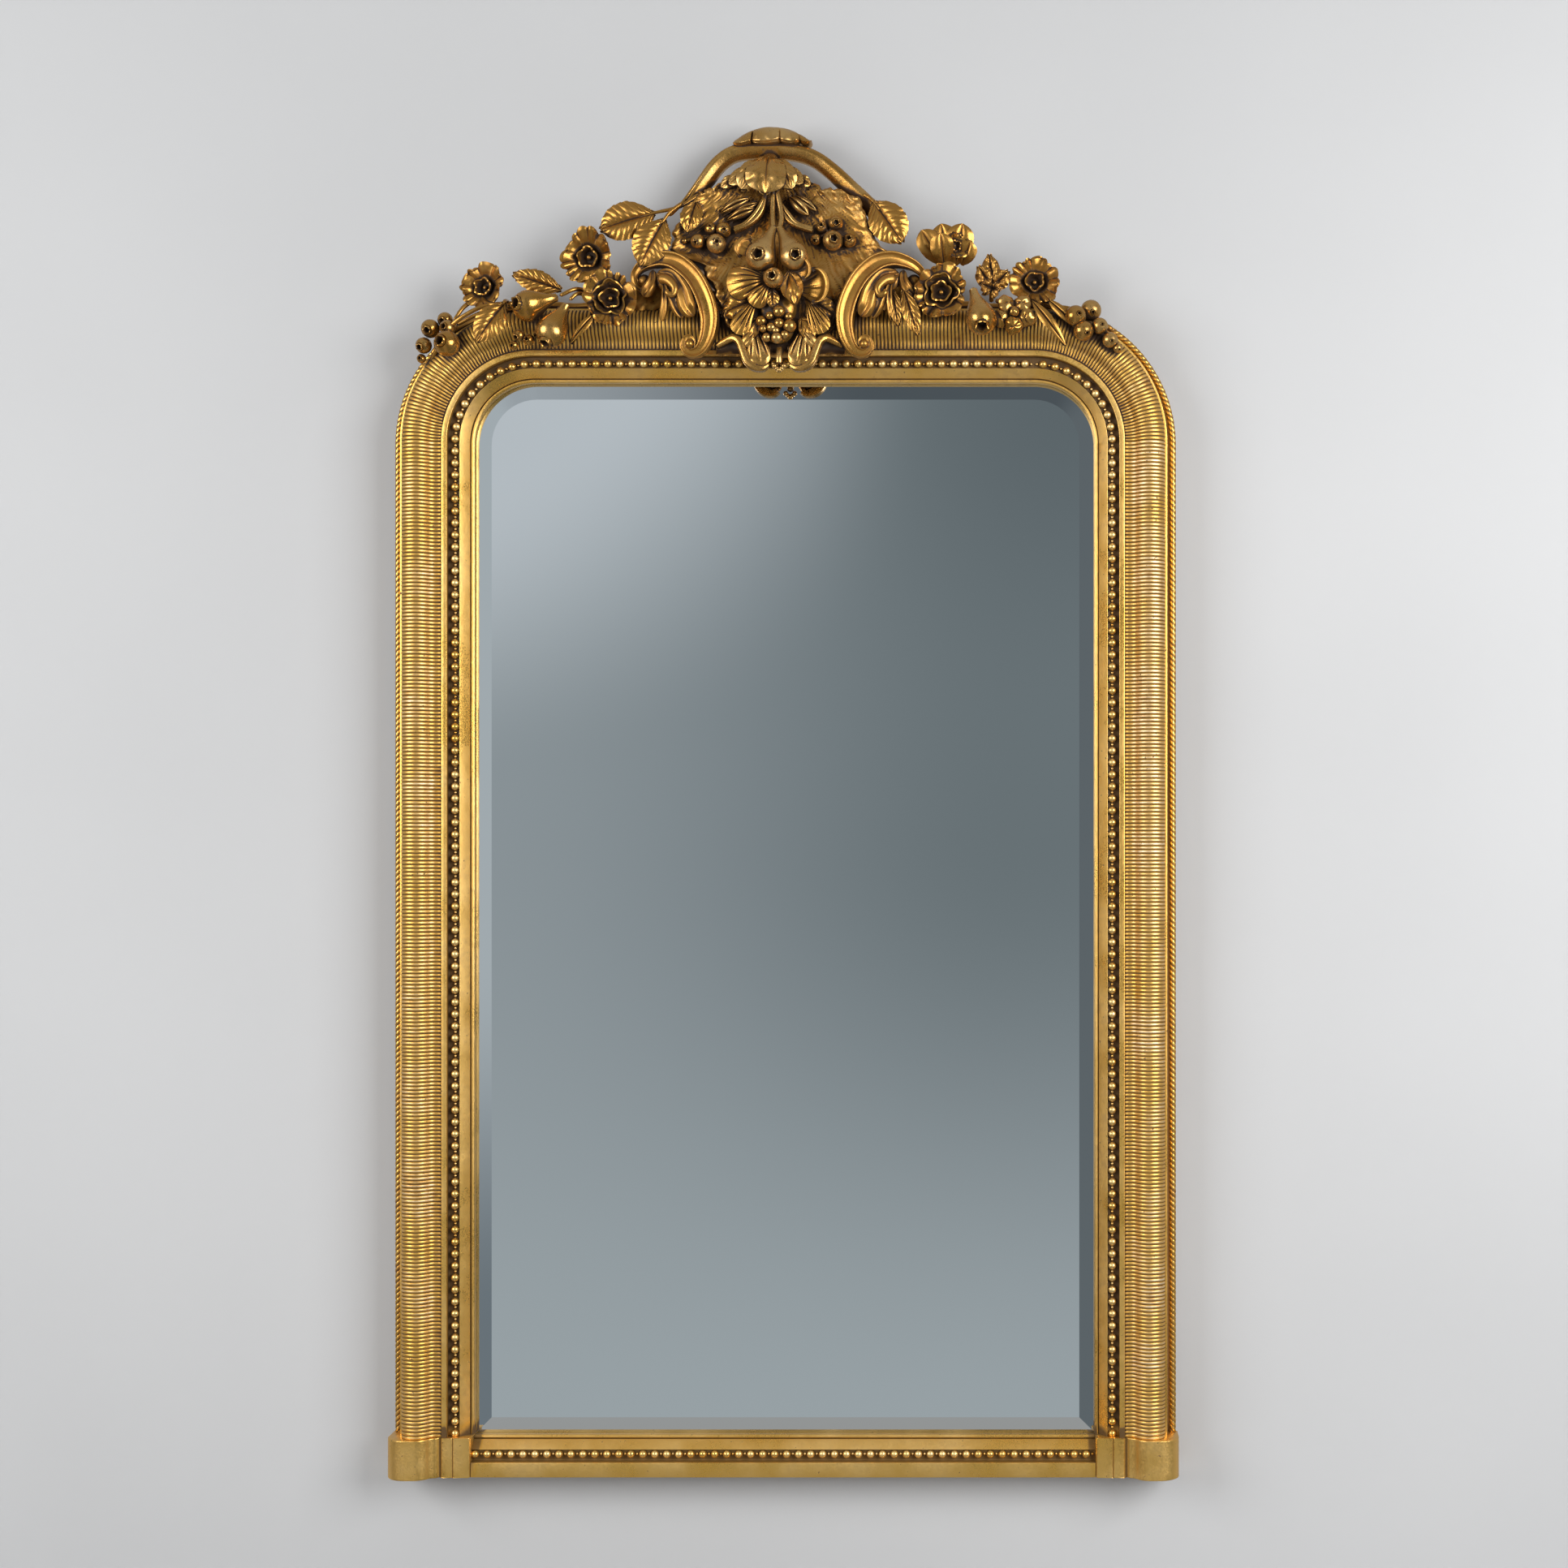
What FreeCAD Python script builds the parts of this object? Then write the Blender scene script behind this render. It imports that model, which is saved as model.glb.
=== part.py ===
import FreeCAD, Part
import math
import os
import re
import Sketcher

V = FreeCAD.Vector

# Driving sizes in millimetres and degrees. A "line" is measured inward from the outer edge of the
# frame, an "inset" is measured outward from the edge of the visible glass, and a "height" or "front"
# is measured forward from the wall.
SIZES = {
    # Whole frame
    "frame_width": 1016,
    "frame_height": 1519,
    "corner_radius": 185,
    "moulding_width": 106,
    "sill_height": 50,
    # Carcass of four boards
    "carcass_thickness": 20,
    "carcass_edge": 1.5,
    "carcass_inset": 14,
    "bottom_rail_height": 35,
    "tenon_length": 30,
    "tenon_width": 40,
    "tenon_height": 18,
    "tenon_thickness": 7,
    "joint_gap": 0.1,
    # Moulding section, from the outer edge to the glass
    "moulding_edge": 13,
    "shoulder_height": 50,
    "bulge_inset": 70.5,
    "bulge_radius": 20,
    "turn_angle": 35,
    "hollow_radius": 14,
    "reeding_thickness": 3,
    "fillet_inset": 38,
    "fillet_height": 57,
    "bed_inset": 31,
    "bed_height": 45,
    "slope_inset": 16,
    "slope_top": 50,
    "slope_foot": 38,
    "sight_bead_radius": 2.5,
    "sight_bead_height": 35,
    "rabbet_inset": 8,
    # Pearls and rope
    "pearl_inset": 22,
    "pearl_radius": 4.7,
    "pearl_pitch": 15.4,
    "pearl_sink": 1.6,
    "rope_line": 4.5,
    "rope_radius": 4.5,
    "rope_foot": 2.5,
    # Base blocks
    "block_height": 51,
    "block_overhang": 2,
    "block_shoulder": 48,
    "block_round": 26,
    "block_flat": 12,
    "block_step_line": 69,
    "block_step_height": 55,
    "block_bead_width": 16,
    "block_bead_rise": 4,
    "block_band_height": 44,
    # Glass and back
    "glass_thickness": 6,
    "glass_gap": 1,
    "bevel_width": 27,
    "bevel_depth": 1.6,
    "wedge_length": 60,
    "wedge_reach": 20,
    "board_thickness": 8,
    "board_back": 3,
    "board_gap": 1,
    "screw_radius": 1.8,
    "screw_head_radius": 3.6,
    "screw_head_height": 1.4,
    "screw_length": 14,
    "screw_gap": 0.06,
    # Hangers
    "hanger_drop": 214,
    "eye_rise": 4,
    "strap_screw_low": 16,
    "strap_screw_high": 38,
    "pocket_width": 50,
    "pocket_length": 116,
    "pocket_depth": 12,
    "strap_width": 22,
    "strap_thickness": 2,
    "strap_length": 50,
    "eye_radius": 3.8,
    "ring_wire_radius": 2,
    "ring_play": 0.08,
    "ring_half_width": 19,
    "ring_leg": 10,
    "ring_corner": 6,
    # Crest
    "crest_board_thickness": 17,
    "crest_board_back": 2,
    "crest_board_width": 190,
    "crest_board_rise": 118,
    "dowel_radius": 5,
    "dowel_length": 50,
    "dowel_spacing": 120,
    "cartouche_front": 80,
    "cartouche_top_front": 54,
    "cartouche_top": 168,
    "cartouche_drop": 104,
    "cartouche_half_width": 150,
    "scribe_gap": 0.4,
    "peg_radius": 3.5,
    "peg_depth": 9,
    "peg_gap": 0.15,
    "stem_radius": 5.5,
    "stem_gap": 0.3,
    "stalk_radius": 3,
    "strap_band": 13,
    "strap_depth": 16,
    "arch_front": 46,
    "scroll_band": 14,
    "scroll_depth": 16,
    "leaf_thickness": 3,
}

doc = FreeCAD.newDocument("overmantel_mirror")
sheet = doc.addObject("Spreadsheet::Sheet", "Sizes")
nodes = []


def fill_sheet():
    for row, (name, number) in enumerate(SIZES.items(), 1):
        sheet.set(f"A{row}", name)
        sheet.set(f"B{row}", str(number))
        sheet.setAlias(f"B{row}", name)
    doc.recompute()


def bound(text):
    """The sheet expression for words that name sizes."""

    def cell(word):
        return f"Sizes.{word.group()}" if word.group() in SIZES else word.group()

    return re.sub(r"[a-z_]+", cell, str(text))


def size(text):
    """The number that an expression of sizes has now."""
    found = sheet.evalExpression(bound(text))
    return float(getattr(found, "Value", found))


# Expressions used in many places
HALF = "frame_width / 2"
ARC_X = "(frame_width / 2 - corner_radius)"
ARC_Z = "(frame_height - corner_radius)"
CARCASS_INNER = "(moulding_width - carcass_inset)"
CARCASS_MIDDLE = f"(frame_width / 2 - carcass_edge / 2 - {CARCASS_INNER} / 2)"
BULGE_LINE = "(moulding_width - bulge_inset)"
FILLET_LINE = "(moulding_width - fillet_inset)"
BED_LINE = "(moulding_width - bed_inset)"
SLOPE_LINE = "(moulding_width - slope_inset)"
SLOPE_END = "(moulding_width - 2 * sight_bead_radius)"
RABBET_LINE = "(moulding_width - rabbet_inset)"
PEARL_LINE = "(moulding_width - pearl_inset)"
LEDGE = "carcass_thickness"
BACK_OF_GLASS = LEDGE
RABBET = "(carcass_thickness + glass_thickness)"
SIGHT_HALF = "(frame_width / 2 - moulding_width)"
REACH = "(bulge_radius + hollow_radius)"
HOLLOW_LINE = f"({BULGE_LINE} + {REACH} * cos(turn_angle))"
HOLLOW_HEIGHT = f"(shoulder_height + {REACH} * sin(turn_angle))"
FACE = "(shoulder_height + bulge_radius)"
ROPE_FRONT = f"({LEDGE} + sqrt(rope_radius^2 - rope_foot^2) + rope_radius)"
HANGER_Z = f"({ARC_Z} - hanger_drop)"


def keep(item, label):
    item.Label = label
    nodes.append(item)
    return item


def move(item, x="0", y="0", z="0"):
    for axis, place in zip("xyz", (x, y, z)):
        item.setExpression(f"Placement.Base.{axis}", bound(place))
    return item


def box(name, low, high):
    """A block between two corners, each (x, y, z) in expressions."""
    block = doc.addObject("Part::Box", name)
    for side, start, end in zip(("Length", "Width", "Height"), low, high):
        block.setExpression(side, bound(f"({end}) - ({start})"))
    return move(block, *low)


def cylinder(name, radius, length, place, along="z"):
    """A round bar from a place (x, y, z), along +Z, or along -Y, away from the wall."""
    bar = doc.addObject("Part::Cylinder", name)
    bar.setExpression("Radius", bound(radius))
    bar.setExpression("Height", bound(length))
    if along == "front":
        bar.Placement.Rotation = FreeCAD.Rotation(V(1, 0, 0), 90)
    if along == "x":
        bar.Placement.Rotation = FreeCAD.Rotation(V(0, 1, 0), 90)
    return move(bar, *place)


def fuse(name, parts):
    whole = doc.addObject("Part::MultiFuse", name)
    whole.Shapes = parts
    return whole


def group(name, parts):
    whole = doc.addObject("Part::Compound", name)
    whole.Links = parts
    return whole


def cut(name, base, tool):
    rest = doc.addObject("Part::Cut", name)
    rest.Base = base
    rest.Tool = tool
    return rest


def body_at(name, x="0", y="0", z="0"):
    return move(doc.addObject("PartDesign::Body", name), x, y, z)


def arc_between(here, there, centre):
    """The shorter arc between two points, and which of its ends is which in travel order."""
    first = math.atan2(here.y - centre.y, here.x - centre.x)
    last = math.atan2(there.y - centre.y, there.x - centre.x)
    circle = Part.Circle(centre, V(0, 0, 1), (here - centre).Length)
    if (here - centre).cross(there - centre).z > 0:
        return Part.ArcOfCircle(circle, first, last), (1, 2)
    return Part.ArcOfCircle(circle, last, first), (2, 1)


def outline(body, plane, corners, lift="0"):
    """A closed sketch on one of the body's own planes, or this far in front of it. A corner is (across,
    up); where an arc leads on from it, its radius and its centre's (across, up) follow. All are
    expressions."""
    sketch = body.newObject("Sketcher::SketchObject", body.Name + "_outline")
    support = [face for face in body.Origin.OriginFeatures if face.Role == plane]
    sketch.AttachmentSupport = [(support[0], "")]
    sketch.MapMode = "FlatFace"
    sketch.setExpression("AttachmentOffset.Base.z", bound(lift))
    points = [V(size(corner[0]), size(corner[1]), 0) for corner in corners]
    ends = []
    for here, there, corner in zip(points, points[1:] + points[:1], corners):
        if len(corner) == 2:
            sketch.addGeometry(Part.LineSegment(here, there))
            ends.append((1, 2))
        else:
            arc, order = arc_between(here, there, V(size(corner[3]), size(corner[4]), 0))
            sketch.addGeometry(arc)
            ends.append(order)
    for i, (corner, point) in enumerate(zip(corners, points)):
        after = (i + 1) % len(corners)
        sketch.addConstraint(Sketcher.Constraint("Coincident", i, ends[i][1], after, ends[after][0]))
        for kind, number, text in (("DistanceX", point.x, corner[0]), ("DistanceY", point.y, corner[1])):
            index = sketch.addConstraint(Sketcher.Constraint(kind, -1, 1, i, ends[i][0], number))
            sketch.setExpression(f"Constraints[{index}]", bound(text))
        if len(corner) > 2:
            index = sketch.addConstraint(Sketcher.Constraint("Radius", i, size(corner[2])))
            sketch.setExpression(f"Constraints[{index}]", bound(corner[2]))
    return sketch


def pad(body, sketch, length, side="One side", backwards=False):
    feature = body.newObject("PartDesign::Pad", body.Name + "_pad")
    feature.Profile = sketch
    feature.setExpression("Length", bound(length))
    feature.SideType = side
    feature.Reversed = backwards
    return feature


def quarter_turn(body, sketch, backwards):
    feature = body.newObject("PartDesign::Revolution", body.Name + "_turn")
    feature.Profile = sketch
    feature.ReferenceAxis = (sketch, ["V_Axis"])
    feature.Angle = 90
    feature.Reversed = backwards
    return feature


# Section of the moulding: lists of (line, height), with arcs given as for outline()


def bulge(radius):
    """Where the bulge of this radius turns into the hollow."""
    return f"{BULGE_LINE} + ({radius}) * cos(turn_angle)", f"shoulder_height + ({radius}) * sin(turn_angle)"


def hollow_end(radius):
    """Height of the hollow of this radius where the flat fillet begins."""
    return f"{HOLLOW_HEIGHT} - sqrt(({radius})^2 - ({FILLET_LINE} - {HOLLOW_LINE})^2)"


def ogee(skin):
    """The bulge and the hollow, this far under the reeded face, from the shoulder to the fillet."""
    round_radius = f"bulge_radius - ({skin})"
    hollow_radius = f"hollow_radius + ({skin})"
    return [
        (f"{BULGE_LINE} - ({round_radius})", "shoulder_height", round_radius, BULGE_LINE, "shoulder_height"),
        (*bulge(round_radius), hollow_radius, HOLLOW_LINE, HOLLOW_HEIGHT),
        (FILLET_LINE, hollow_end(hollow_radius)),
    ]


def inner_members():
    """Fillet, pearl bed, slope, sight bead and the rabbet for the glass."""
    bead_line = "moulding_width - sight_bead_radius"
    bead_top = "sight_bead_height + sight_bead_radius"
    return [
        (BED_LINE, "fillet_height"),
        (BED_LINE, "bed_height"),
        (SLOPE_LINE, "bed_height"),
        (SLOPE_LINE, "slope_top"),
        (SLOPE_END, "slope_foot"),
        (SLOPE_END, "sight_bead_height", "sight_bead_radius", bead_line, "sight_bead_height"),
        (bead_line, bead_top, "sight_bead_radius", bead_line, "sight_bead_height"),
        ("moulding_width", "sight_bead_height"),
        ("moulding_width", RABBET),
        (RABBET_LINE, RABBET),
        (RABBET_LINE, LEDGE),
    ]


def moulding_section():
    return [
        ("moulding_edge", LEDGE),
        ("moulding_edge", "shoulder_height"),
        *ogee("reeding_thickness"),
        (FILLET_LINE, "fillet_height"),
        *inner_members(),
    ]


def reeding_section():
    under = ogee("reeding_thickness")
    back = [
        under[2] + under[1][2:],
        under[1][:2] + under[0][2:],
        under[0][:2],
    ]
    return ogee("0") + back


def rope_section():
    centre = f"{LEDGE} + sqrt(rope_radius^2 - rope_foot^2)"
    return [
        ("rope_line - rope_foot", LEDGE, "rope_radius", "rope_line", centre),
        ("rope_line", f"{centre} + rope_radius", "rope_radius", "rope_line", centre),
        ("rope_line + rope_foot", LEDGE),
    ]


def block_section():
    """Plan of a base block: a broad round, the ogee's hollow, a small bead and a flat band."""
    start = "-block_overhang"
    centre = f"{start} + block_round"
    crest = "block_shoulder + block_round"
    second = f"{centre} + block_flat"
    low = f"{crest} - bulge_radius"
    turn = (f"{second} + bulge_radius * cos(turn_angle)", f"{low} + bulge_radius * sin(turn_angle)")
    hollow = (f"{second} + {REACH} * cos(turn_angle)", f"{low} + {REACH} * sin(turn_angle)")
    end = f"{hollow[1]} - sqrt(hollow_radius^2 - (block_step_line - 1 - ({hollow[0]}))^2)"
    bead_end = "block_step_line + block_bead_width"
    bead_middle = "block_step_line + block_bead_width / 2"
    bead_radius = "((block_bead_width / 2)^2 + block_bead_rise^2) / (2 * block_bead_rise)"
    bead_centre = (bead_middle, f"block_step_height - 2 + block_bead_rise - {bead_radius}")
    return [
        (start, LEDGE),
        (start, "block_shoulder", "block_round", centre, "block_shoulder"),
        (centre, crest),
        (second, crest, "bulge_radius", second, low),
        (*turn, "hollow_radius", *hollow),
        ("block_step_line - 1", end),
        ("block_step_line - 1", "block_step_height - 2"),
        ("block_step_line", "block_step_height - 2", bead_radius, *bead_centre),
        (bead_end, "block_step_height - 2"),
        (bead_end, "block_band_height"),
        ("moulding_width", "block_band_height"),
        ("moulding_width", LEDGE),
    ]


def placed(section, across, up):
    """The section's lines and heights as sketch places."""
    corners = []
    for corner in section:
        spot = (across(*corner[:2]), up(*corner[:2]))
        if len(corner) > 2:
            spot += (corner[2], across(*corner[3:]), up(*corner[3:]))
        corners.append(spot)
    return corners


def upright_plan(section, side):
    """The section seen from above, with the arc's centre as origin; side is -1 left, 1 right."""
    return placed(
        section,
        lambda line, height: f"{side} * (corner_radius - ({line}))",
        lambda line, height: f"-({height})",
    )


def top_side_view(section):
    return placed(
        section, lambda line, height: f"-({height})", lambda line, height: f"corner_radius - ({line})"
    )


def sill_side_view(section):
    return placed(
        section,
        lambda line, height: f"-({height})",
        lambda line, height: f"({line}) - moulding_width + sill_height",
    )


SIDES = {"left": -1, "right": 1}


def frame_lengths(name, section):
    """One member of the frame as two uprights, two corners and a top length."""
    for word, side in SIDES.items():
        upright = body_at(f"{name}_{word}", f"{side} * {ARC_X}", z="block_height")
        pad(upright, outline(upright, "XY_Plane", upright_plan(section, side)), f"{ARC_Z} - block_height")
        keep(upright, f"{name}_{word}")
        corner = body_at(f"{name}_corner_{word}", f"{side} * {ARC_X}", z=ARC_Z)
        quarter_turn(corner, outline(corner, "XY_Plane", upright_plan(section, side)), side > 0)
        keep(corner, f"{name}_corner_{word}")
    top = body_at(f"{name}_top", z=ARC_Z)
    pad(top, outline(top, "YZ_Plane", top_side_view(section)), f"2 * {ARC_X}", "Symmetric")
    keep(top, f"{name}_top")


def rope_edge():
    for word, side in SIDES.items():
        rope = body_at(f"rope_{word}", f"{side} * {ARC_X}", z=ARC_Z)
        sketch = outline(rope, "XY_Plane", upright_plan(rope_section(), side))
        pad(rope, sketch, f"{ARC_Z} - block_height", backwards=True)
        quarter_turn(rope, sketch, side > 0)
        keep(rope, f"rope_{word}")
    top = body_at("rope_top", z=ARC_Z)
    pad(top, outline(top, "YZ_Plane", top_side_view(rope_section())), f"2 * {ARC_X}", "Symmetric")
    keep(top, "rope_top")


def base():
    rail = body_at("base_rail")
    section = [("moulding_width - sill_height", LEDGE), ("moulding_width - sill_height", "fillet_height")]
    sketch = outline(rail, "YZ_Plane", sill_side_view(section + inner_members()))
    pad(rail, sketch, f"2 * {SIGHT_HALF}", "Symmetric")
    keep(rail, "base_rail")
    for word, side in SIDES.items():
        block = body_at(f"block_{word}", f"{side} * {ARC_X}")
        pad(block, outline(block, "XY_Plane", upright_plan(block_section(), side)), "block_height")
        edge = f"{side} * ({HALF} - {RABBET_LINE})"
        inside = f"{side} * ({SIGHT_HALF} - 1)"
        low, high = (inside, edge) if side > 0 else (edge, inside)
        notch = box(
            f"block_notch_{word}",
            (low, f"-{RABBET}", f"sill_height - moulding_width + {RABBET_LINE}"),
            (high, "0", "block_height + 1"),
        )
        keep(cut(f"base_block_{word}", block, notch), f"base_block_{word}")


def pearl(line_place):
    """A pearl whose flat foot lies on the bed at this place, with its round side to the front."""
    radius = size("pearl_radius")
    sink = size("pearl_sink")
    foot = -math.degrees(math.asin((radius - sink) / radius))
    centre = line_place - V(0, size("bed_height + pearl_radius - pearl_sink"), 0)
    return Part.makeSphere(radius, centre, V(0, -1, 0), foot, 90, 360)


def evenly(length):
    """Distances along a run at which pearls sit, spread evenly."""
    count = round(length / size("pearl_pitch"))
    return [(i + 0.5) * length / count for i in range(count)]


def pearls():
    line = size(PEARL_LINE)
    half = size(HALF)
    low = size("block_height")
    arc_x, arc_z, radius = size(ARC_X), size(ARC_Z), size("corner_radius") - line
    run = size(f"{ARC_Z} - block_height")
    for word, side in SIDES.items():
        row = [pearl(V(side * (half - line), 0, low + step)) for step in evenly(run)]
        carved(f"pearls_{word}", Part.makeCompound(row))
    row = [pearl(V(step - arc_x, 0, arc_z + radius)) for step in evenly(2 * arc_x)]
    for side in SIDES.values():
        for step in evenly(radius * math.pi / 2):
            turn = step / radius
            row.append(pearl(V(side * (arc_x + radius * math.cos(turn)), 0, arc_z + radius * math.sin(turn))))
    carved("pearls_top", Part.makeCompound(row))
    sight = size(SIGHT_HALF)
    height = size(f"{PEARL_LINE} - moulding_width + sill_height")
    row = [pearl(V(step - sight, 0, height)) for step in evenly(2 * sight)]
    carved("pearls_base", Part.makeCompound(row))


def carcass():
    outer, inner = f"({HALF} - carcass_edge)", f"({HALF} - {CARCASS_INNER})"
    middle = CARCASS_MIDDLE
    tenon_back = "carcass_thickness / 2 - tenon_thickness / 2"
    tenon_front = "carcass_thickness / 2 + tenon_thickness / 2"
    tenon_low = "bottom_rail_height / 2 - tenon_height / 2"
    tenon_high = "bottom_rail_height / 2 + tenon_height / 2"
    rail = body_at("top_rail_body")
    shell = ("corner_radius - carcass_edge", f"corner_radius - {CARCASS_INNER}")
    top, under = "frame_height - carcass_edge", f"frame_height - {CARCASS_INNER}"
    sketch = outline(
        rail,
        "XZ_Plane",
        [
            (f"-{outer}", ARC_Z, shell[0], f"-{ARC_X}", ARC_Z),
            (f"-{ARC_X}", top),
            (ARC_X, top, shell[0], ARC_X, ARC_Z),
            (outer, ARC_Z),
            (inner, ARC_Z, shell[1], ARC_X, ARC_Z),
            (ARC_X, under),
            (f"-{ARC_X}", under, shell[1], f"-{ARC_X}", ARC_Z),
            (f"-{inner}", ARC_Z),
        ],
    )
    pad(rail, sketch, "carcass_thickness")
    mortises = []
    for word, side in SIDES.items():
        edges = sorted((f"{side} * {outer}", f"{side} * {inner}"), key=size)
        stile = box(f"stile_board_{word}", (edges[0], "-carcass_thickness", "0"), (edges[1], "0", ARC_Z))
        left, right = (f"{side} * {middle} {sign} tenon_width / 2" for sign in "-+")
        tongue = box(
            f"stile_tenon_{word}",
            (left, f"-({tenon_front})", ARC_Z),
            (right, f"-({tenon_back})", f"{ARC_Z} + tenon_length"),
        )
        mortise_end = f"{ARC_Z} + tenon_length + joint_gap"
        mortises.append(
            box(
                f"top_mortise_{word}",
                (f"{left} - joint_gap", f"-({tenon_front} + joint_gap)", f"{ARC_Z} - 1"),
                (f"{right} + joint_gap", f"-({tenon_back} - joint_gap)", mortise_end),
            )
        )
        ends = sorted((f"{side} * ({inner} - 1)", f"{side} * ({inner} + tenon_length + joint_gap)"), key=size)
        foot_mortise = box(
            f"foot_mortise_{word}",
            (ends[0], f"-({tenon_front} + joint_gap)", f"{tenon_low} - joint_gap"),
            (ends[1], f"-({tenon_back} - joint_gap)", f"{tenon_high} + joint_gap"),
        )
        pocket = box(
            f"hanger_pocket_{word}",
            (f"{side} * {middle} - pocket_width / 2", "-pocket_depth", f"{HANGER_Z} - pocket_length / 2"),
            (f"{side} * {middle} + pocket_width / 2", "1", f"{HANGER_Z} + pocket_length / 2"),
        )
        pilots = strap_screw_holes(word, side, middle)
        removed = group(f"stile_recesses_{word}", [foot_mortise, pocket, pilots])
        keep(cut(f"stile_{word}", fuse(f"stile_blank_{word}", [stile, tongue]), removed), f"stile_{word}")
        hanger(word, side, middle)
    holes = [
        cylinder(
            f"dowel_hole_{word}",
            "dowel_radius + joint_gap",
            "dowel_length / 2 + 1",
            (f"{side} * dowel_spacing / 2", "-carcass_thickness / 2", f"{top} - dowel_length / 2"),
        )
        for word, side in SIDES.items()
    ]
    keep(cut("top_rail", rail, group("top_rail_recesses", mortises + holes)), "top_rail")
    cross = box(
        "bottom_board", (f"-{inner}", "-carcass_thickness", "0"), (inner, "0", "bottom_rail_height")
    )
    tongues = box(
        "bottom_tenons",
        (f"-({inner} + tenon_length)", f"-({tenon_front})", tenon_low),
        (f"{inner} + tenon_length", f"-({tenon_back})", tenon_high),
    )
    keep(fuse("bottom_rail", [cross, tongues]), "bottom_rail")


STRAP_FLOOR = "(pocket_depth - strap_thickness)"
EYE_DEPTH = "(pocket_depth - eye_radius)"
EYE_Z = f"({HANGER_Z} + eye_rise)"
STRAP_SCREWS = ("strap_screw_low", "strap_screw_high")


def strap_screw_holes(word, side, middle):
    """Pilot holes in the stile under the strap."""
    holes = [
        cylinder(
            f"strap_pilot_{word}_{i}",
            "screw_radius + screw_gap",
            "carcass_thickness - pocket_depth - 1",
            (f"{side} * {middle}", "-pocket_depth + 0.5", f"{EYE_Z} + {rise}"),
            "front",
        )
        for i, rise in enumerate(STRAP_SCREWS)
    ]
    return group(f"strap_pilots_{word}", holes)


def hanger(word, side, middle):
    """A strap with a rolled eye on the floor of its pocket, and the ring that swings in the eye."""
    centre = f"{side} * {middle}"
    plate = box(
        f"strap_plate_{word}",
        (f"{centre} - strap_width / 2", "-pocket_depth", EYE_Z),
        (f"{centre} + strap_width / 2", f"-{STRAP_FLOOR}", f"{EYE_Z} + strap_length"),
    )
    eye_start = (f"{centre} - strap_width / 2", f"-{EYE_DEPTH}", EYE_Z)
    eye = cylinder(f"strap_eye_{word}", "eye_radius", "strap_width", eye_start, "x")
    bore = cylinder(f"strap_bore_{word}", "ring_wire_radius + ring_play", "strap_width", eye_start, "x")
    holes = [
        cylinder(
            f"strap_hole_{word}_{i}",
            "screw_radius + screw_gap",
            "strap_thickness + 2",
            (centre, f"-{STRAP_FLOOR} + 1", f"{EYE_Z} + {rise}"),
            "front",
        )
        for i, rise in enumerate(STRAP_SCREWS)
    ]
    drilled = group(f"strap_holes_{word}", [bore] + holes)
    strap = cut(f"hanger_strap_{word}", fuse(f"strap_blank_{word}", [plate, eye]), drilled)
    keep(strap, f"hanger_strap_{word}")
    carved(f"hanger_ring_{word}", ring(V(size(centre), -size(EYE_DEPTH), size(EYE_Z))))


def ring(pivot):
    """A wire ring: a straight bar through the eye, two legs and a half round below."""
    half = size("ring_half_width")
    corner = size("ring_corner")
    leg = size("ring_leg")
    wire_radius = size("ring_wire_radius")
    bend = corner * (1 - math.sqrt(0.5))
    left, right = pivot + V(-half, 0, 0), pivot + V(half, 0, 0)
    drop = V(0, 0, -corner - leg)
    bar = Part.LineSegment(left + V(corner, 0, 0), right - V(corner, 0, 0))
    right_bend = Part.Arc(right - V(corner, 0, 0), right + V(-bend, 0, -bend), right - V(0, 0, corner))
    right_leg = Part.LineSegment(right - V(0, 0, corner), right + drop)
    bow = Part.Arc(right + drop, pivot + drop - V(0, 0, half), left + drop)
    left_leg = Part.LineSegment(left + drop, left - V(0, 0, corner))
    left_bend = Part.Arc(left - V(0, 0, corner), left + V(bend, 0, -bend), left + V(corner, 0, 0))
    halves = ((bar, right_bend, right_leg), (bow, left_leg, left_bend))
    return fused([tube(half, wire_radius) for half in halves])


def tube(path, radius):
    """A round wire along lines and tangent arcs."""
    wire = Part.Wire([part.toShape() for part in path])
    start = path[0].value(path[0].FirstParameter)
    section = Part.Wire(Part.makeCircle(radius, start, path[0].tangent(path[0].FirstParameter)[0]))
    return wire.makePipeShell([section], True, True)


def fused(shapes):
    whole = shapes[0].multiFuse(shapes[1:])
    return whole.Solids[0] if len(whole.Solids) == 1 else whole


def carved(label, shape):
    """A piece whose free form is made from the sheet's sizes by the functions below."""
    piece = doc.addObject("Part::Feature", label)
    piece.Shape = shape
    piece.Placement = FreeCAD.Placement()
    return keep(piece, label)


def glass_outline(margin):
    """Outline of the glass this far inside its edge, square below and rounded above."""
    edge = f"({HALF} - {RABBET_LINE} - glass_gap - ({margin}))"
    low = f"sill_height - moulding_width + {RABBET_LINE} + glass_gap + ({margin})"
    radius = f"(corner_radius - {RABBET_LINE} - glass_gap - ({margin}))"
    return [
        (f"-{edge}", low),
        (f"-{edge}", ARC_Z, radius, f"-{ARC_X}", ARC_Z),
        (f"-{ARC_X}", f"{ARC_Z} + {radius}"),
        (ARC_X, f"{ARC_Z} + {radius}", radius, ARC_X, ARC_Z),
        (edge, ARC_Z),
        (edge, low),
    ]


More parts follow.
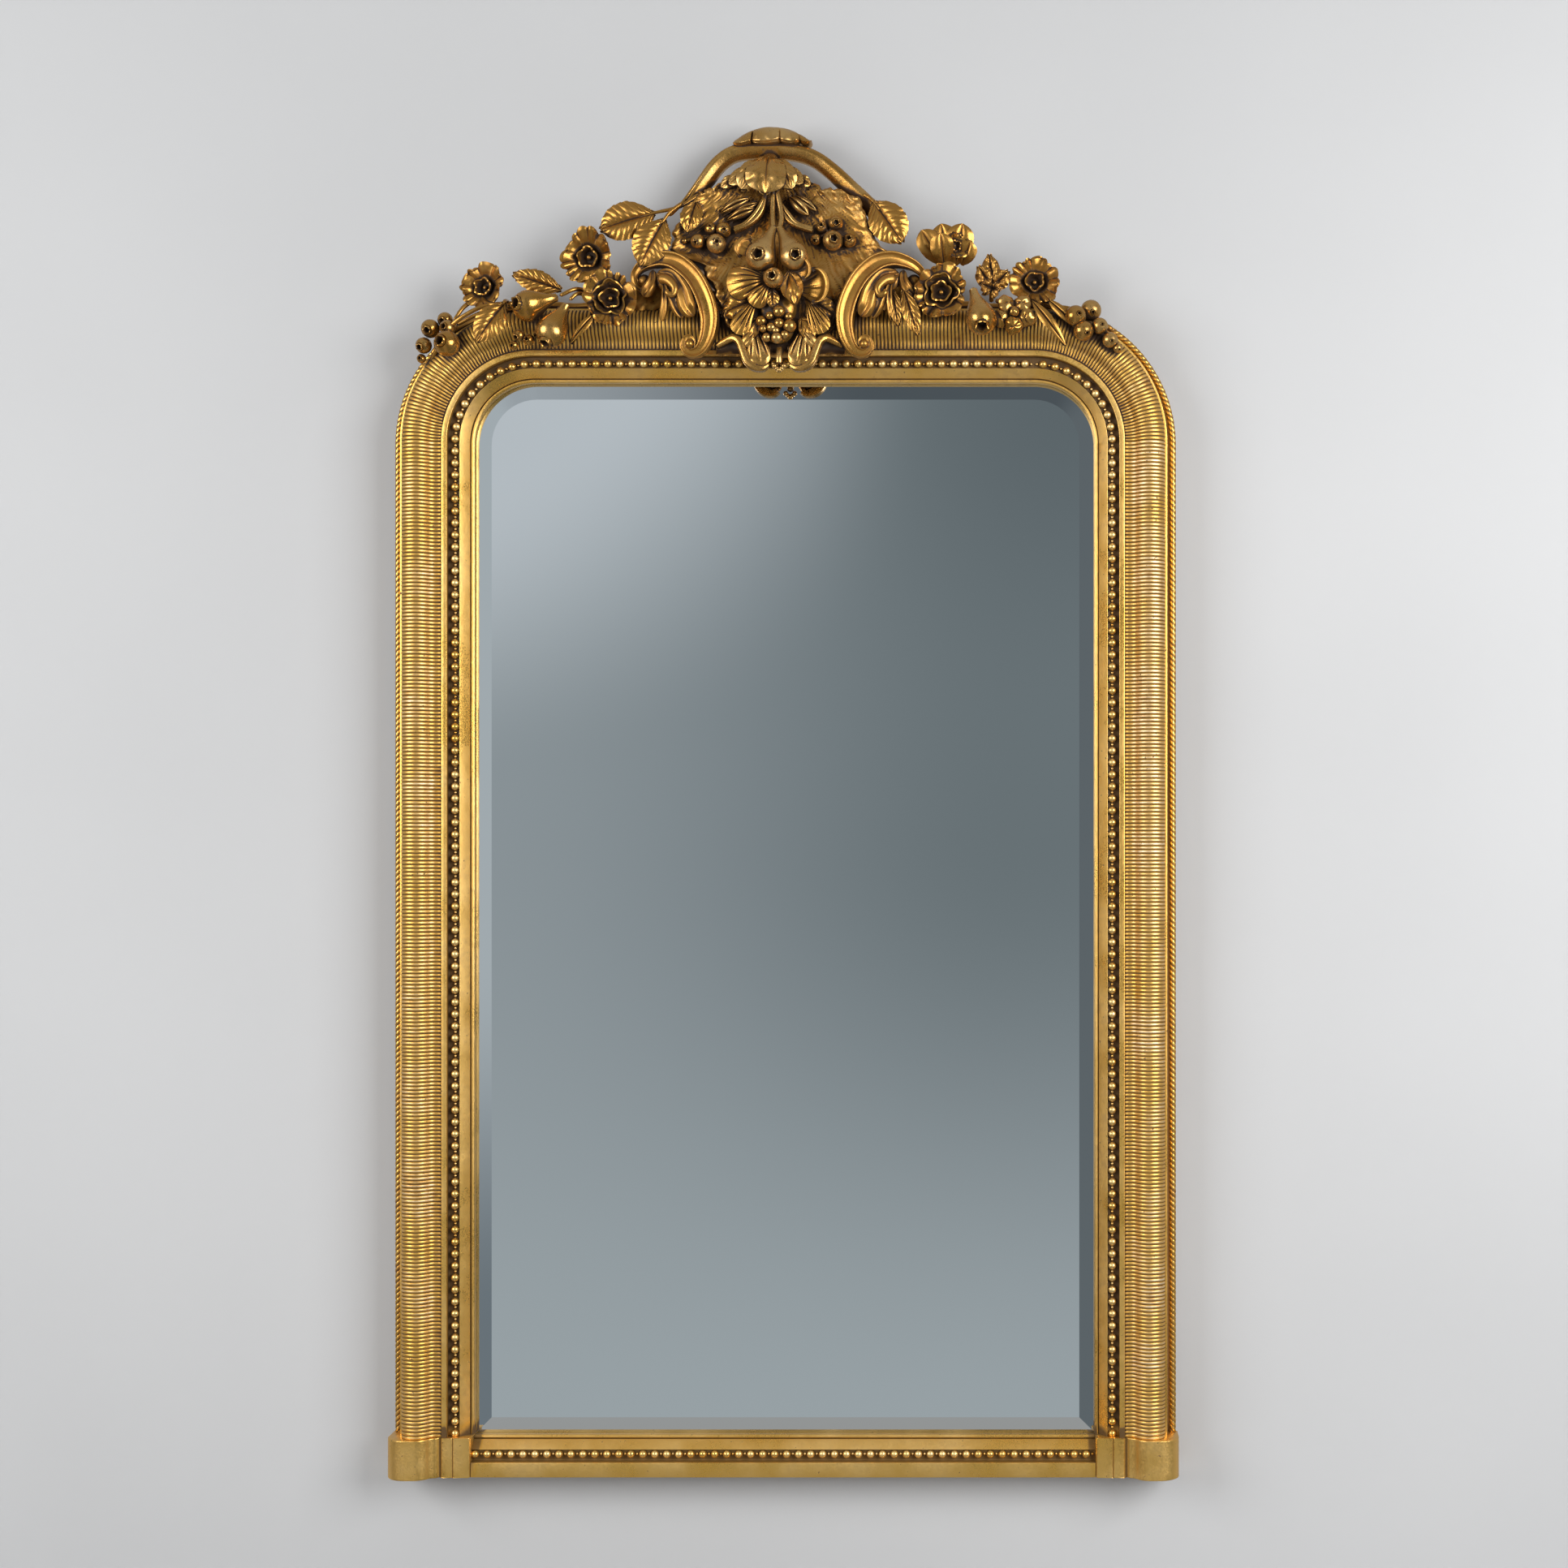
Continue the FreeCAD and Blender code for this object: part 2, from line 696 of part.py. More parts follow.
def mirror_glass():
    plate = body_at("mirror_glass", y=f"-{BACK_OF_GLASS}")
    land = "glass_thickness - bevel_depth"
    pad(plate, outline(plate, "XZ_Plane", glass_outline("0")), land)
    bevel = plate.newObject("PartDesign::AdditiveLoft", "bevel")
    bevel.Profile = outline(plate, "XZ_Plane", glass_outline("0"), land)
    bevel.Sections = [outline(plate, "XZ_Plane", glass_outline("bevel_width"), "glass_thickness")]
    bevel.Ruled = True
    keep(plate, "mirror_glass")


def wedge_places():
    """Centres of the glass wedges along the carcass opening: (x, z, half width, half height)."""
    inner = f"({HALF} - {CARCASS_INNER})"
    across = ("wedge_reach / 2", "wedge_length / 2")
    along = ("wedge_length / 2", "wedge_reach / 2")
    places = []
    for side in SIDES.values():
        for share in ("0.2", "0.5", "0.8"):
            places.append((f"{side} * ({inner} - wedge_reach / 2)", f"{share} * {ARC_Z}", *across))
        spread = f"{side} * {ARC_X} * 0.6"
        places.append((spread, f"frame_height - {CARCASS_INNER} - wedge_reach / 2", *along))
        places.append((spread, "bottom_rail_height + wedge_reach / 2", *along))
    return places


def backboards():
    front = "(board_back + board_thickness)"
    wedges, screws, board_holes = [], [], []
    for i, (x, z, half_width, half_height) in enumerate(wedge_places()):
        block = box(
            f"wedge_{i}",
            (f"{x} - {half_width}", f"-{BACK_OF_GLASS}", f"{z} - {half_height}"),
            (f"{x} + {half_width}", f"-{front}", f"{z} + {half_height}"),
        )
        radius = "screw_radius + screw_gap"
        pilot = cylinder(
            f"wedge_pilot_{i}", radius, "screw_length", (x, f"-{front} + 1", z), "front"
        )
        wedges.append(cut(f"wedge_drilled_{i}", block, pilot))
        shank = cylinder(f"board_shank_{i}", "screw_radius", "screw_length", (x, "-board_back", z), "front")
        head = cylinder(
            f"board_head_{i}", "screw_head_radius", "screw_head_height", (x, "-board_back", z), "front"
        )
        screws.append(fuse(f"board_screw_{i}", [shank, head]))
        hole = cylinder(f"board_hole_{i}", radius, "board_thickness + 2", (x, "-board_back + 1", z), "front")
        seat_radius = "screw_head_radius + screw_gap"
        seat = cylinder(
            f"board_seat_{i}", seat_radius, "screw_head_height + 1", (x, "-board_back + 1", z), "front"
        )
        board_holes += [hole, seat]
    keep(group("glass_wedges", wedges), "glass_wedges")
    keep(group("backboard_screws", screws), "backboard_screws")
    holes = group("backboard_holes", board_holes)
    half = f"({HALF} - {CARCASS_INNER} - board_gap)"
    low = "(bottom_rail_height + board_gap)"
    step = f"({ARC_Z} - {low}) / 3 + 10"
    for i, label in enumerate(("bottom", "middle")):
        board = box(
            f"board_{label}",
            (f"-{half}", f"-{front}", f"{low} + {i} * ({step})"),
            (half, "-board_back", f"{low} + {i + 1} * ({step}) - board_gap"),
        )
        keep(cut(f"backboard_{label}", board, holes), f"backboard_{label}")
    board = body_at("board_top", y="-board_back")
    radius = f"corner_radius - {CARCASS_INNER} - board_gap"
    sketch = outline(
        board,
        "XZ_Plane",
        [
            (f"-{half}", f"{low} + 2 * ({step})"),
            (f"-{half}", ARC_Z, radius, f"-{ARC_X}", ARC_Z),
            (f"-{ARC_X}", f"{ARC_Z} + {radius}"),
            (ARC_X, f"{ARC_Z} + {radius}", radius, ARC_X, ARC_Z),
            (half, ARC_Z),
            (half, f"{low} + 2 * ({step})"),
        ],
    )
    pad(board, sketch, "board_thickness")
    keep(cut("backboard_top", board, holes), "backboard_top")


def strap_screws():
    screws = []
    for word, side in SIDES.items():
        x = f"{side} * {CARCASS_MIDDLE}"
        for i, rise in enumerate(STRAP_SCREWS):
            z = f"{EYE_Z} + {rise}"
            start = (x, f"-{STRAP_FLOOR}", z)
            length = "strap_thickness + carcass_thickness - pocket_depth - 2"
            shank = cylinder(f"strap_shank_{word}_{i}", "screw_radius", length, start, "front")
            top = (x, f"-{STRAP_FLOOR} + screw_head_height", z)
            head = cylinder(f"strap_head_{word}_{i}", "screw_head_radius", "screw_head_height", top, "front")
            screws.append(fuse(f"strap_screw_{word}_{i}", [shank, head]))
    keep(group("hanger_screws", screws), "hanger_screws")


# Free forms of the crest


def ball(centre, radius):
    return Part.makeSphere(radius, centre)


def rod(start, end, radius, end_radius=None):
    if end_radius is None or abs(end_radius - radius) < 0.01:
        return Part.makeCylinder(radius, (end - start).Length, start, end - start)
    return Part.makeCone(radius, end_radius, (end - start).Length, start, end - start)


def stalk(points, radius):
    """A stalk of straight runs with round joints."""
    runs = [rod(start, end, radius) for start, end in zip(points, points[1:])]
    return runs + [ball(point, radius) for point in points[1:-1]]


def turned(profile, origin, axis):
    """A solid of revolution: profile edges are in (along, out) as (x, y), then laid along the axis."""
    solid = Part.Face(Part.Wire(profile)).revolve(V(0, 0, 0), V(1, 0, 0), 360)
    solid = Part.Solid(solid.Shells[0]) if solid.ShapeType != "Solid" else solid
    solid.Placement = FreeCAD.Placement(origin, FreeCAD.Rotation(V(1, 0, 0), axis))
    return solid


def line(*places):
    points = [V(*place, 0) for place in places]
    return [Part.LineSegment(a, b).toShape() for a, b in zip(points, points[1:])]


def curve(*places):
    through = Part.BSplineCurve()
    through.interpolate([V(*place, 0) for place in places])
    return through.toShape()


def pear(middle, neck, radius):
    """A pear from its round end, with a sunk eye, to its neck."""
    length = (neck - middle).Length
    thin = 0.34 * radius
    eye = (-0.95 * radius, 0.25 * radius)
    edges = [curve(eye, (0, radius), (0.62 * length, 0.62 * radius), (length, thin))]
    edges += line((length, thin), (length, 0), (-0.78 * radius, 0), eye)
    return turned(edges, middle, neck - middle)


def cup(centre, facing, radius, depth, lobes, wall, start=0.0):
    """An open flower cup whose rim is scalloped into lobes."""
    root = 0.24 * radius
    outer = curve((-depth, root), (-0.5 * depth, 0.4 * radius), (-0.14 * depth, 0.75 * radius), (0, radius))
    inner = curve(
        (wall, radius - 0.3 * wall),
        (wall - 0.18 * depth, 0.68 * radius),
        (wall - 0.55 * depth, 0.3 * radius),
        (1.5 * wall - depth, 0.1 * radius),
    )
    edges = [outer] + line((0, radius), (wall, radius - 0.3 * wall)) + [inner]
    edges += line((1.5 * wall - depth, 0.1 * radius), (1.5 * wall - depth, 0), (-depth, 0), (-depth, root))
    flower = turned(edges, V(0, 0, 0), V(0, 0, 1))
    notch = 0.34 * radius * math.sin(math.pi / lobes)
    notches = []
    for i in range(lobes):
        turn = 2 * math.pi * (i + start) / lobes
        spot = V(1.04 * radius * math.cos(turn), 1.04 * radius * math.sin(turn), -depth)
        notches.append(Part.makeCylinder(notch, 2 * depth, spot))
    flower = flower.cut(Part.makeCompound(notches))
    flower.Placement = FreeCAD.Placement(centre, FreeCAD.Rotation(V(0, 0, 1), facing))
    return flower


def trumpet(centre, facing, radius, lobes):
    """A flared flower with a knob in its throat; centre is the middle of the rim."""
    depth = 0.75 * radius
    facing = V(facing).normalize()
    knob = ball(centre - facing * (0.6 * depth), 0.2 * radius)
    return [cup(centre, facing, radius, depth, lobes, size("leaf_thickness")), knob]


def rose(centre, facing, radius):
    """A full flower of three nested cups."""
    facing = V(facing).normalize()
    wall = size("leaf_thickness") * 0.8
    petals = []
    for share, forward, start in ((1.0, 0.0, 0.0), (0.66, 0.18, 0.5), (0.4, 0.3, 0.0)):
        depth = (0.45 + forward) * radius
        middle = centre + facing * (forward * radius)
        petals.append(cup(middle, facing, share * radius, depth, 5, wall, start))
    return petals


def leaf(root, tip, width, rise=0.0):
    """A pointed leaf from root to tip, hollow behind, bowed forward by rise."""
    thick = size("leaf_thickness")
    along = tip - root
    across = V(along).cross(V(0, 1, 0)).normalize()
    front = across.cross(along).normalize()
    if front.y > 0:
        front = front * -1
    sections = []
    for share, part in ((0.0, 0.16), (0.25, 0.82), (0.5, 1.0), (0.75, 0.72), (1.0, 0.08)):
        spot = root + along * share + front * (rise * math.sin(math.pi * share))
        half = part * width / 2
        camber = 0.35 * half
        edge = thick * 0.3
        left, right = spot - across * half, spot + across * half
        crown = Part.Arc(left, spot + front * camber, right).toShape()
        sole = spot + front * (camber - thick * part ** 0.5)
        under = Part.Arc(right - front * edge, sole, left - front * edge)
        sides = [Part.LineSegment(right, right - front * edge), Part.LineSegment(left - front * edge, left)]
        sections.append(Part.Wire([crown, sides[0].toShape(), under.toShape(), sides[1].toShape()]))
    return Part.makeLoft(sections, True, False)


def tangent_arcs(start, direction, ends):
    """Arcs in the plane of the wall, each leaving in the direction the last one arrived in."""
    arcs = []
    for end in ends:
        chord = end - start
        normal = V(-direction.z, 0, direction.x)
        radius = chord.dot(chord) / (2 * chord.dot(normal))
        centre = start + normal * radius
        middle = centre + ((start + end) * 0.5 - centre).normalize() * abs(radius)
        arc = Part.Arc(start, middle, end)
        arcs.append(arc)
        direction = arc.tangent(arc.LastParameter)[0]
        start = end
    return arcs


def band(arcs, width, depth, back):
    """A strap along arcs, its back this far from the wall, with a rounded front."""
    start = arcs[0].value(arcs[0].FirstParameter)
    direction = arcs[0].tangent(arcs[0].FirstParameter)[0]
    side = V(-direction.z, 0, direction.x) * (width / 2)
    rear = V(start.x, -back, start.z)
    shoulder = V(0, -0.7 * depth, 0)
    crown = Part.Arc(rear - side + shoulder, rear + V(0, -depth, 0), rear + side + shoulder)
    points = (rear - side + shoulder, rear - side, rear + side, rear + side + shoulder)
    edges = [Part.LineSegment(a, b).toShape() for a, b in zip(points, points[1:])]
    section = Part.Wire(edges + [crown.toShape()])
    path = Part.Wire([arc.toShape() for arc in arcs])
    path.translate(V(0, -back, 0))
    return path.makePipeShell([section], True, False)


def crest_point(x, rise, front):
    """A place on the crest: across from the middle, above the frame's top edge, and out from the wall."""
    return V(x, -front, size("frame_height") + rise)


def crest_board():
    back = "crest_board_back"
    front = "crest_board_back + crest_board_thickness"
    foot = "frame_height - carcass_edge"
    board = box(
        "crest_plank",
        ("-crest_board_width / 2", f"-({front})", foot),
        ("crest_board_width / 2", f"-{back}", "frame_height + crest_board_rise"),
    )
    holes, dowels = [], []
    for word, side in SIDES.items():
        x = f"{side} * dowel_spacing / 2"
        hole = (x, "-carcass_thickness / 2", f"{foot} - 1")
        holes.append(cylinder(f"crest_hole_{word}", "dowel_radius + joint_gap", "dowel_length / 2 + 1", hole))
        peg = (x, "-carcass_thickness / 2", f"{foot} - dowel_length / 2 + 0.5")
        dowels.append(cylinder(f"crest_dowel_{word}", "dowel_radius", "dowel_length - 1", peg))
    keep(cut("crest_board", board, group("crest_holes", holes)), "crest_board")
    keep(group("crest_dowels", dowels), "crest_dowels")


def scribe_section():
    """What the crest is cut to where it laps over the frame: the rope ledge, the ogee and the pearls."""
    gap = "scribe_gap"
    face = ogee(f"-{gap}")
    face[0] = (face[0][0], f"shoulder_height + {gap}", *face[0][2:])
    return [
        (f"-{gap}", "-1"),
        (f"-{gap}", f"{ROPE_FRONT} + {gap}"),
        (f"moulding_edge - {gap}", f"{ROPE_FRONT} + {gap}"),
        (f"moulding_edge - {gap}", f"shoulder_height + {gap}"),
        *face[:2],
        (FILLET_LINE, f"fillet_height + {gap}"),
        ("moulding_width", f"fillet_height + {gap}"),
        ("moulding_width", "-1"),
    ]


def cartouche():
    """A shield that stands before the crest board and laps over the moulding, drilled for its pegs."""
    top, drop = "frame_height + cartouche_top", "frame_height - cartouche_drop"
    wide = "cartouche_half_width"
    face = body_at("cartouche_face")
    waist, neck = "cartouche_half_width * 0.42", "cartouche_half_width * 0.7"
    right = [
        (neck, f"{top} - 46"),
        (f"{wide} * 0.83", "frame_height + 62"),
        (wide, "frame_height + 28"),
        (wide, "frame_height + 8"),
        (waist, "frame_height - 58"),
        (f"{waist} * 0.8", f"{drop} + 16"),
    ]
    left = [(f"-({x})", z) for x, z in reversed(right)]
    outline_corners = right + [("0", drop)] + left + [("0", top)]
    pad(face, outline(face, "XZ_Plane", outline_corners), "cartouche_front + 10")
    side = body_at("cartouche_side", f"-({wide} + 1)")
    rear = "crest_board_back + crest_board_thickness"
    profile = [
        (f"-({rear})", f"{drop} - 1"),
        (f"-({rear})", f"{top} + 1"),
        ("-cartouche_top_front", f"{top} + 1"),
        ("-cartouche_front", "frame_height + 6"),
        ("-cartouche_front", f"{drop} - 1"),
    ]
    pad(side, outline(side, "YZ_Plane", profile), f"2 * {wide} + 2")
    shield = doc.addObject("Part::Common", "cartouche_blank")
    shield.Base = face
    shield.Tool = side
    frame_side = body_at("cartouche_scribe", z=ARC_Z)
    scribe = outline(frame_side, "YZ_Plane", top_side_view(scribe_section()))
    pad(frame_side, scribe, f"2 * {wide} + 4", "Symmetric")
    scribed = cut("cartouche_scribed", shield, frame_side)
    doc.recompute()
    shape = scribed.Shape.cut(Part.makeCompound([socket(name) for name in PEGS]))
    carved("cartouche", shape)
    return shape


# Pegs in the cartouche's face: (across from the middle, rise over the frame's top edge)
PEGS = {
    "pear_left": (-23, 42),
    "pear_right": (18, 44),
    "apple": (-5, 10),
    "centre_leaves": (-2, -24),
    "grapes": (-2, -62),
    "pendant": (-2, -82),
    "palmette": (-16, 150),
    "spray_left": (-82, 76),
    "spray_right": (64, 79),
    "scroll_left": (-85, -28),
    "scroll_right": (85, -28),
    "scroll_leaf_left": (-121, 8),
    "scroll_leaf_right": (121, 8),
    "arch_leaf_left": (-98, 102),
    "arch_leaf_right": (97, 102),
}


def shield_front(rise):
    """How far the cartouche's face stands from the wall at this height."""
    front, top_front = size("cartouche_front"), size("cartouche_top_front")
    share = max(0.0, (rise - 6) / (size("cartouche_top") - 5))
    return front - share * (front - top_front)


def socket(name):
    """The hole for one peg, open to the front."""
    x, rise = PEGS[name]
    front, gap = shield_front(rise), size("peg_gap")
    bottom = crest_point(x, rise, front - size("peg_depth") - 2 * gap)
    return rod(bottom, crest_point(x, rise, front + 20), size("peg_radius") + gap)


def peg(name, reach):
    """A peg in its socket, standing out of the cartouche's face by reach."""
    x, rise = PEGS[name]
    front = shield_front(rise)
    bottom = crest_point(x, rise, front - size("peg_depth"))
    return rod(bottom, crest_point(x, rise, front + reach), size("peg_radius"))


def arch(shield):
    """The strap over the cartouche, from one of its shoulders to the other, let into them."""
    start = crest_point(-115, 95, 0)
    ends = [crest_point(x, rise, 0) for x, rise in ((-70, 184), (-15, 201), (40, 186), (113, 92))]
    steep = math.radians(86)
    arcs = tangent_arcs(start, V(math.cos(steep), 0, math.sin(steep)), ends)
    strap = band(arcs, size("strap_band"), size("strap_depth"), size("arch_front - strap_depth"))
    return largest(strap.cut(shield))


def largest(shape):
    return max(shape.Solids, key=lambda solid: solid.Volume)


def fan(root, angles, lengths, radius, tip_radius, lift):
    """Lobes spread from one root in the plane of the wall; angles run clockwise from straight up."""
    lobes = [ball(root, 1.2 * radius)]
    for angle, length in zip(angles, lengths):
        turn = math.radians(angle)
        tip = root + V(length * math.sin(turn), -lift, length * math.cos(turn))
        lobes += [rod(root, tip, radius, tip_radius), ball(tip, tip_radius)]
    return lobes


def cap(strap):
    """A shell of five lobes seated on the crown of the arch."""
    root = crest_point(-16, 194, size("arch_front") + 8)
    lobes = fan(root, (-75, -45, 0, 45, 75), (45, 28, 19, 28, 45), 6, 9, -3)
    return largest(fused(lobes).cut(strap))


def palmette():
    x, rise = PEGS["palmette"]
    root = crest_point(x, rise, shield_front(rise) + 9)
    lobes = fan(root, (-105, -64, -22, 22, 64, 105), (30, 34, 30, 30, 34, 30), 6, 7, 6)
    return fused(lobes + [peg("palmette", 8)])


def centre_fruit():
    """Two pears with their necks together, and an apple below them."""
    fruit = []
    for name, lean, radius in (("pear_left", 8, 18.5), ("pear_right", -15, 18)):
        x, rise = PEGS[name]
        front = shield_front(rise)
        middle = crest_point(x, rise, front + 26)
        body = pear(middle, crest_point(x + lean, 80, front + 16), radius)
        fruit.append(fused([body, peg(name, 24)]))
    x, rise = PEGS["apple"]
    apple = crest_point(x, rise, shield_front(rise) + 30)
    body = pear(apple, apple + V(0, 6, 7), 14.5)
    fruit.append(fused([body, peg("apple", 24)]))
    return Part.makeCompound(fruit)


def centre_leaves():
    """Broad leaves spread behind the fruit and the grapes, joined at a boss."""
    x, rise = PEGS["centre_leaves"]
    front = shield_front(rise)
    hub = crest_point(x, rise, front + 0.5)
    parts = [rod(hub, hub + V(0, -6, 0), 15), peg("centre_leaves", 4)]
    for across, up, width in ((60, 40, 34), (66, 4, 30), (50, -30, 28)):
        for side in SIDES.values():
            tip = crest_point(x + side * across, rise + up, front + 7)
            root = crest_point(x + side * 6, rise + 0.1 * up, front + 4)
            parts.append(leaf(root, tip, width, rise=3))
    return fused(parts)


def grape_cluster():
    x, rise = PEGS["grapes"]
    heart = shield_front(rise) + 16
    grape = 7.4
    spacing = 1.64 * grape
    parts = [peg("grapes", 18)]
    for row, count in enumerate((3, 4, 3, 2, 1)):
        for i in range(count):
            across = (i - (count - 1) / 2) * spacing
            bulge_out = 10 - 0.16 * abs(across) - 2.5 * abs(row - 1.5)
            up = rise + 34 - row * spacing * 0.85
            parts.append(ball(crest_point(x + across, up, heart - 1 + bulge_out), grape))
    parts.append(rod(crest_point(x, rise - 4, heart), crest_point(x, rise + 30, heart), 0.8 * grape))
    parts.append(ball(crest_point(x, rise + 14, heart), grape))
    return fused(parts)


def pendant():
    """A shell of two broad lobes and a drop, at the foot of the cartouche."""
    x, rise = PEGS["pendant"]
    front = shield_front(rise)
    root = crest_point(x, rise, front + 9)
    lobes = fan(root, (98, 132, 180, 228, 262), (26, 24, 18, 24, 26), 6, 7.5, 2)
    lobes += [ball(crest_point(x, rise - 25, front + 8), 5), peg("pendant", 8)]
    return fused(lobes)


# Berries on the cartouche: (x, rise, radius)
SPRAYS = {
    "spray_left": ((-91, 87, 8), (-74, 85, 10.5), (-106, 70, 9.5), (-83, 63, 12.5)),
    "spray_right": ((51, 87, 7.5), (69, 92, 9.5), (45, 72, 7.5), (65, 66, 13), (85, 71, 8.5)),
}


def cartouche_berries():
    sprays = []
    for name, berries in SPRAYS.items():
        x, rise = PEGS[name]
        knot = crest_point(x, rise, shield_front(rise) + 7)
        parts = [ball(knot, 4), peg(name, 8)]
        for across, up, radius in berries:
            middle = crest_point(across, up, shield_front(up) + radius + 1)
            parts += [ball(middle, radius), rod(knot, middle, 2.5)]
        sprays.append(fused(parts))
    return Part.makeCompound(sprays)


def scroll():
    """The left C-scroll: a band from its upper end round to the volute at its foot."""
    turns = ((-115, 32), (-84, -28), (-100, -80), (-118, -74), (-108, -64))
    ends = [crest_point(x, rise, 0) for x, rise in turns]
    tilt = math.radians(20)
    arcs = tangent_arcs(crest_point(-170, 38, 0), V(math.cos(tilt), 0, math.sin(tilt)), ends)
    front = size("cartouche_front")
    strap = band(arcs, size("scroll_band"), size("scroll_depth"), front)
    return fused([strap, peg("scroll_left", 6)])


def scroll_leaf():
    """Acanthus fingers in the hollow of the left scroll."""
    x, rise = PEGS["scroll_leaf_left"]
    front = shield_front(rise)
    root = crest_point(x, rise, front + 8)
    parts = [ball(root, 7), peg("scroll_leaf_left", 7)]
    for across, up in ((-40, 13), (-40, -10), (-26, -32), (-6, -38)):
        tip = crest_point(x + across, rise + up, front + 10)
        bend = crest_point(x + 0.55 * across, rise + 0.4 * up, front + 12)
        parts += [rod(root, bend, 5.6), ball(bend, 6.5), rod(bend, tip, 5.6, 4), ball(tip, 4.5)]
    return fused(parts)


def mirrored(shape):
    return shape.mirror(V(0, 0, 0), V(1, 0, 0))


# Garlands. A place is (along, out, forward): along the outer edge from the middle of the top, round the
# corner where the top has ended, then out from that edge, then forward of the moulding's face.


def edge_point(side, along, out, forward):
    arc_x, arc_z, radius = size(ARC_X), size(ARC_Z), size("corner_radius") + out
    front = size(FACE) + forward
    if along <= arc_x:
        return V(side * along, -front, arc_z + radius)
    turn = (along - arc_x) / size("corner_radius")
    return V(side * (arc_x + radius * math.sin(turn)), -front, arc_z + radius * math.cos(turn))


def stem_point(side, along):
    """A place on the stem's centre line, in the gutter between the rope and the moulding."""
    out = size("stem_radius + stem_gap - moulding_edge")
    return edge_point(side, along, out, size(f"{ROPE_FRONT} + stem_radius + stem_gap - {FACE}"))


def stem(side, reach, radius):
    """The stem from the cartouche's side along the top edge, and round the corner if it reaches there."""
    inner, corner = size("cartouche_half_width + stem_gap"), size(ARC_X)
    if reach <= corner:
        return tube((Part.LineSegment(stem_point(side, inner), stem_point(side, reach)),), radius)
    run = Part.LineSegment(stem_point(side, inner), stem_point(side, corner))
    middle = stem_point(side, (corner + reach) / 2)
    return tube((run, Part.Arc(stem_point(side, corner), middle, stem_point(side, reach))), radius)


STEM_REACH = {"left": 483, "right": 435}

# Open flowers: (place, facing, radius, lobes), roses: (place, facing, radius)
TRUMPETS = {
    "left": (((379, 20, 2), (-0.25, -1, 0.1), 28, 6), ((249, 46, 8), (-0.1, -1, 0.12), 34, 7)),
    "right": (((323, 17, 2), (0.15, -1, 0.15), 31, 7), ((218, 59, 6), (0.45, -1, 0.1), 27, 5)),
}
ROSES = {"left": ((218, -8, 27), (-0.1, -1, -0.1), 33), "right": ((202, -2, 27), (-0.05, -1, -0.05), 34)}

# Pears: (place of the round end, place of the neck, radius)
PEARS = {
    "left": (((320, -22, 21), (287, -8, 16), 18), ((288, -48, 26), (270, -16, 22), 19.5)),
    "right": (((256, -37, 26), (247, -8, 20), 20),),
}

# Bunches of berries: where along the stem the bunch is held, then (place, radius) of each berry. The
# first berry has the stalk and the others crowd round it.
BUNCHES = {
    "left": (
        (
            454,
            (
                ((454, -23, 16), 14.5),
                ((459, 10, -8), 11.5),
                ((480, -3, -10), 9.5),
                ((440, -12, 10), 9.5),
                ((435, 9, -12), 8.5),
            ),
        ),
        (349, (((333, -52, 14), 7.5), ((321, -56, 12), 5.5), ((339, -40, 12), 5.5))),
    ),
    "right": (
        (
            387,
            (
                ((387, -25, 16), 13.5),
                ((402, -1, -4), 13.5),
                ((404, -42, 16), 12),
                ((422, -17, 12), 10.5),
                ((442, -26, 12), 10),
            ),
        ),
        (285, (((298, -26, 15), 11), ((309, -34, 14), 9), ((289, -36, 14), 8))),
    ),
}

# Leaves: (place of the root, place of the tip, width, where along the stem it is held)
LEAVES = {
    "left": (
        ((282, 8, -12), (343, 30, -4), 26, 277),
        ((356, -12, 8), (407, -52, 12), 30, 356),
        ((227, -26, 8), (211, -54, 14), 14, 239),
    ),
    "right": (
        ((329, -18, 10), (375, -58, 14), 17, 359),
        ((269, 14, -10), (273, 44, 0), 30, 269),
        ((171, -20, 14), (157, -50, 16), 16, 171),
    ),
}

# Leaves beside the foot of the arch: (root, tip, width), with root and tip as (x, rise)
ARCH_LEAVES = {
    "left": (((-150, 110), (-233, 84), 26), ((-138, 108), (-179, 40), 34)),
    "right": (((112, 112), (152, 72), 40),),
}


def bough(side, anchor, forward, along):
    """A stalk from the anchor up over the moulding's face and back to the stem."""
    over = edge_point(side, along, -2, forward)
    return stalk([anchor, over, stem_point(side, along)], size("stalk_radius"))


def fitted(shapes, envelope):
    """Shapes joined into one piece and scribed round the stem."""
    return largest(fused(shapes).cut(envelope))


def flowers(word, side, envelope):
    grown = []
    for place, facing, radius, lobes in TRUMPETS[word]:
        centre = edge_point(side, *place)
        throat = centre - V(*facing).normalize() * (0.72 * radius)
        held = rod(throat, stem_point(side, place[0]), size("stalk_radius"))
        grown.append(fitted(trumpet(centre, V(*facing), radius, lobes) + [held], envelope))
    place, facing, radius = ROSES[word]
    centre = edge_point(side, *place)
    back = centre - V(*facing).normalize() * (0.4 * radius)
    held = rod(back, stem_point(side, place[0]), size("stalk_radius"))
    grown.append(fitted(rose(centre, V(*facing), radius) + [held], envelope))
    return Part.makeCompound(grown)


def fruit(word, side, envelope):
    grown = []
    for place, neck, radius in PEARS[word]:
        top = edge_point(side, *neck)
        body = pear(edge_point(side, *place), top, radius)
        grown.append(fitted([body] + bough(side, top, neck[2], neck[0]), envelope))
    return Part.makeCompound(grown)


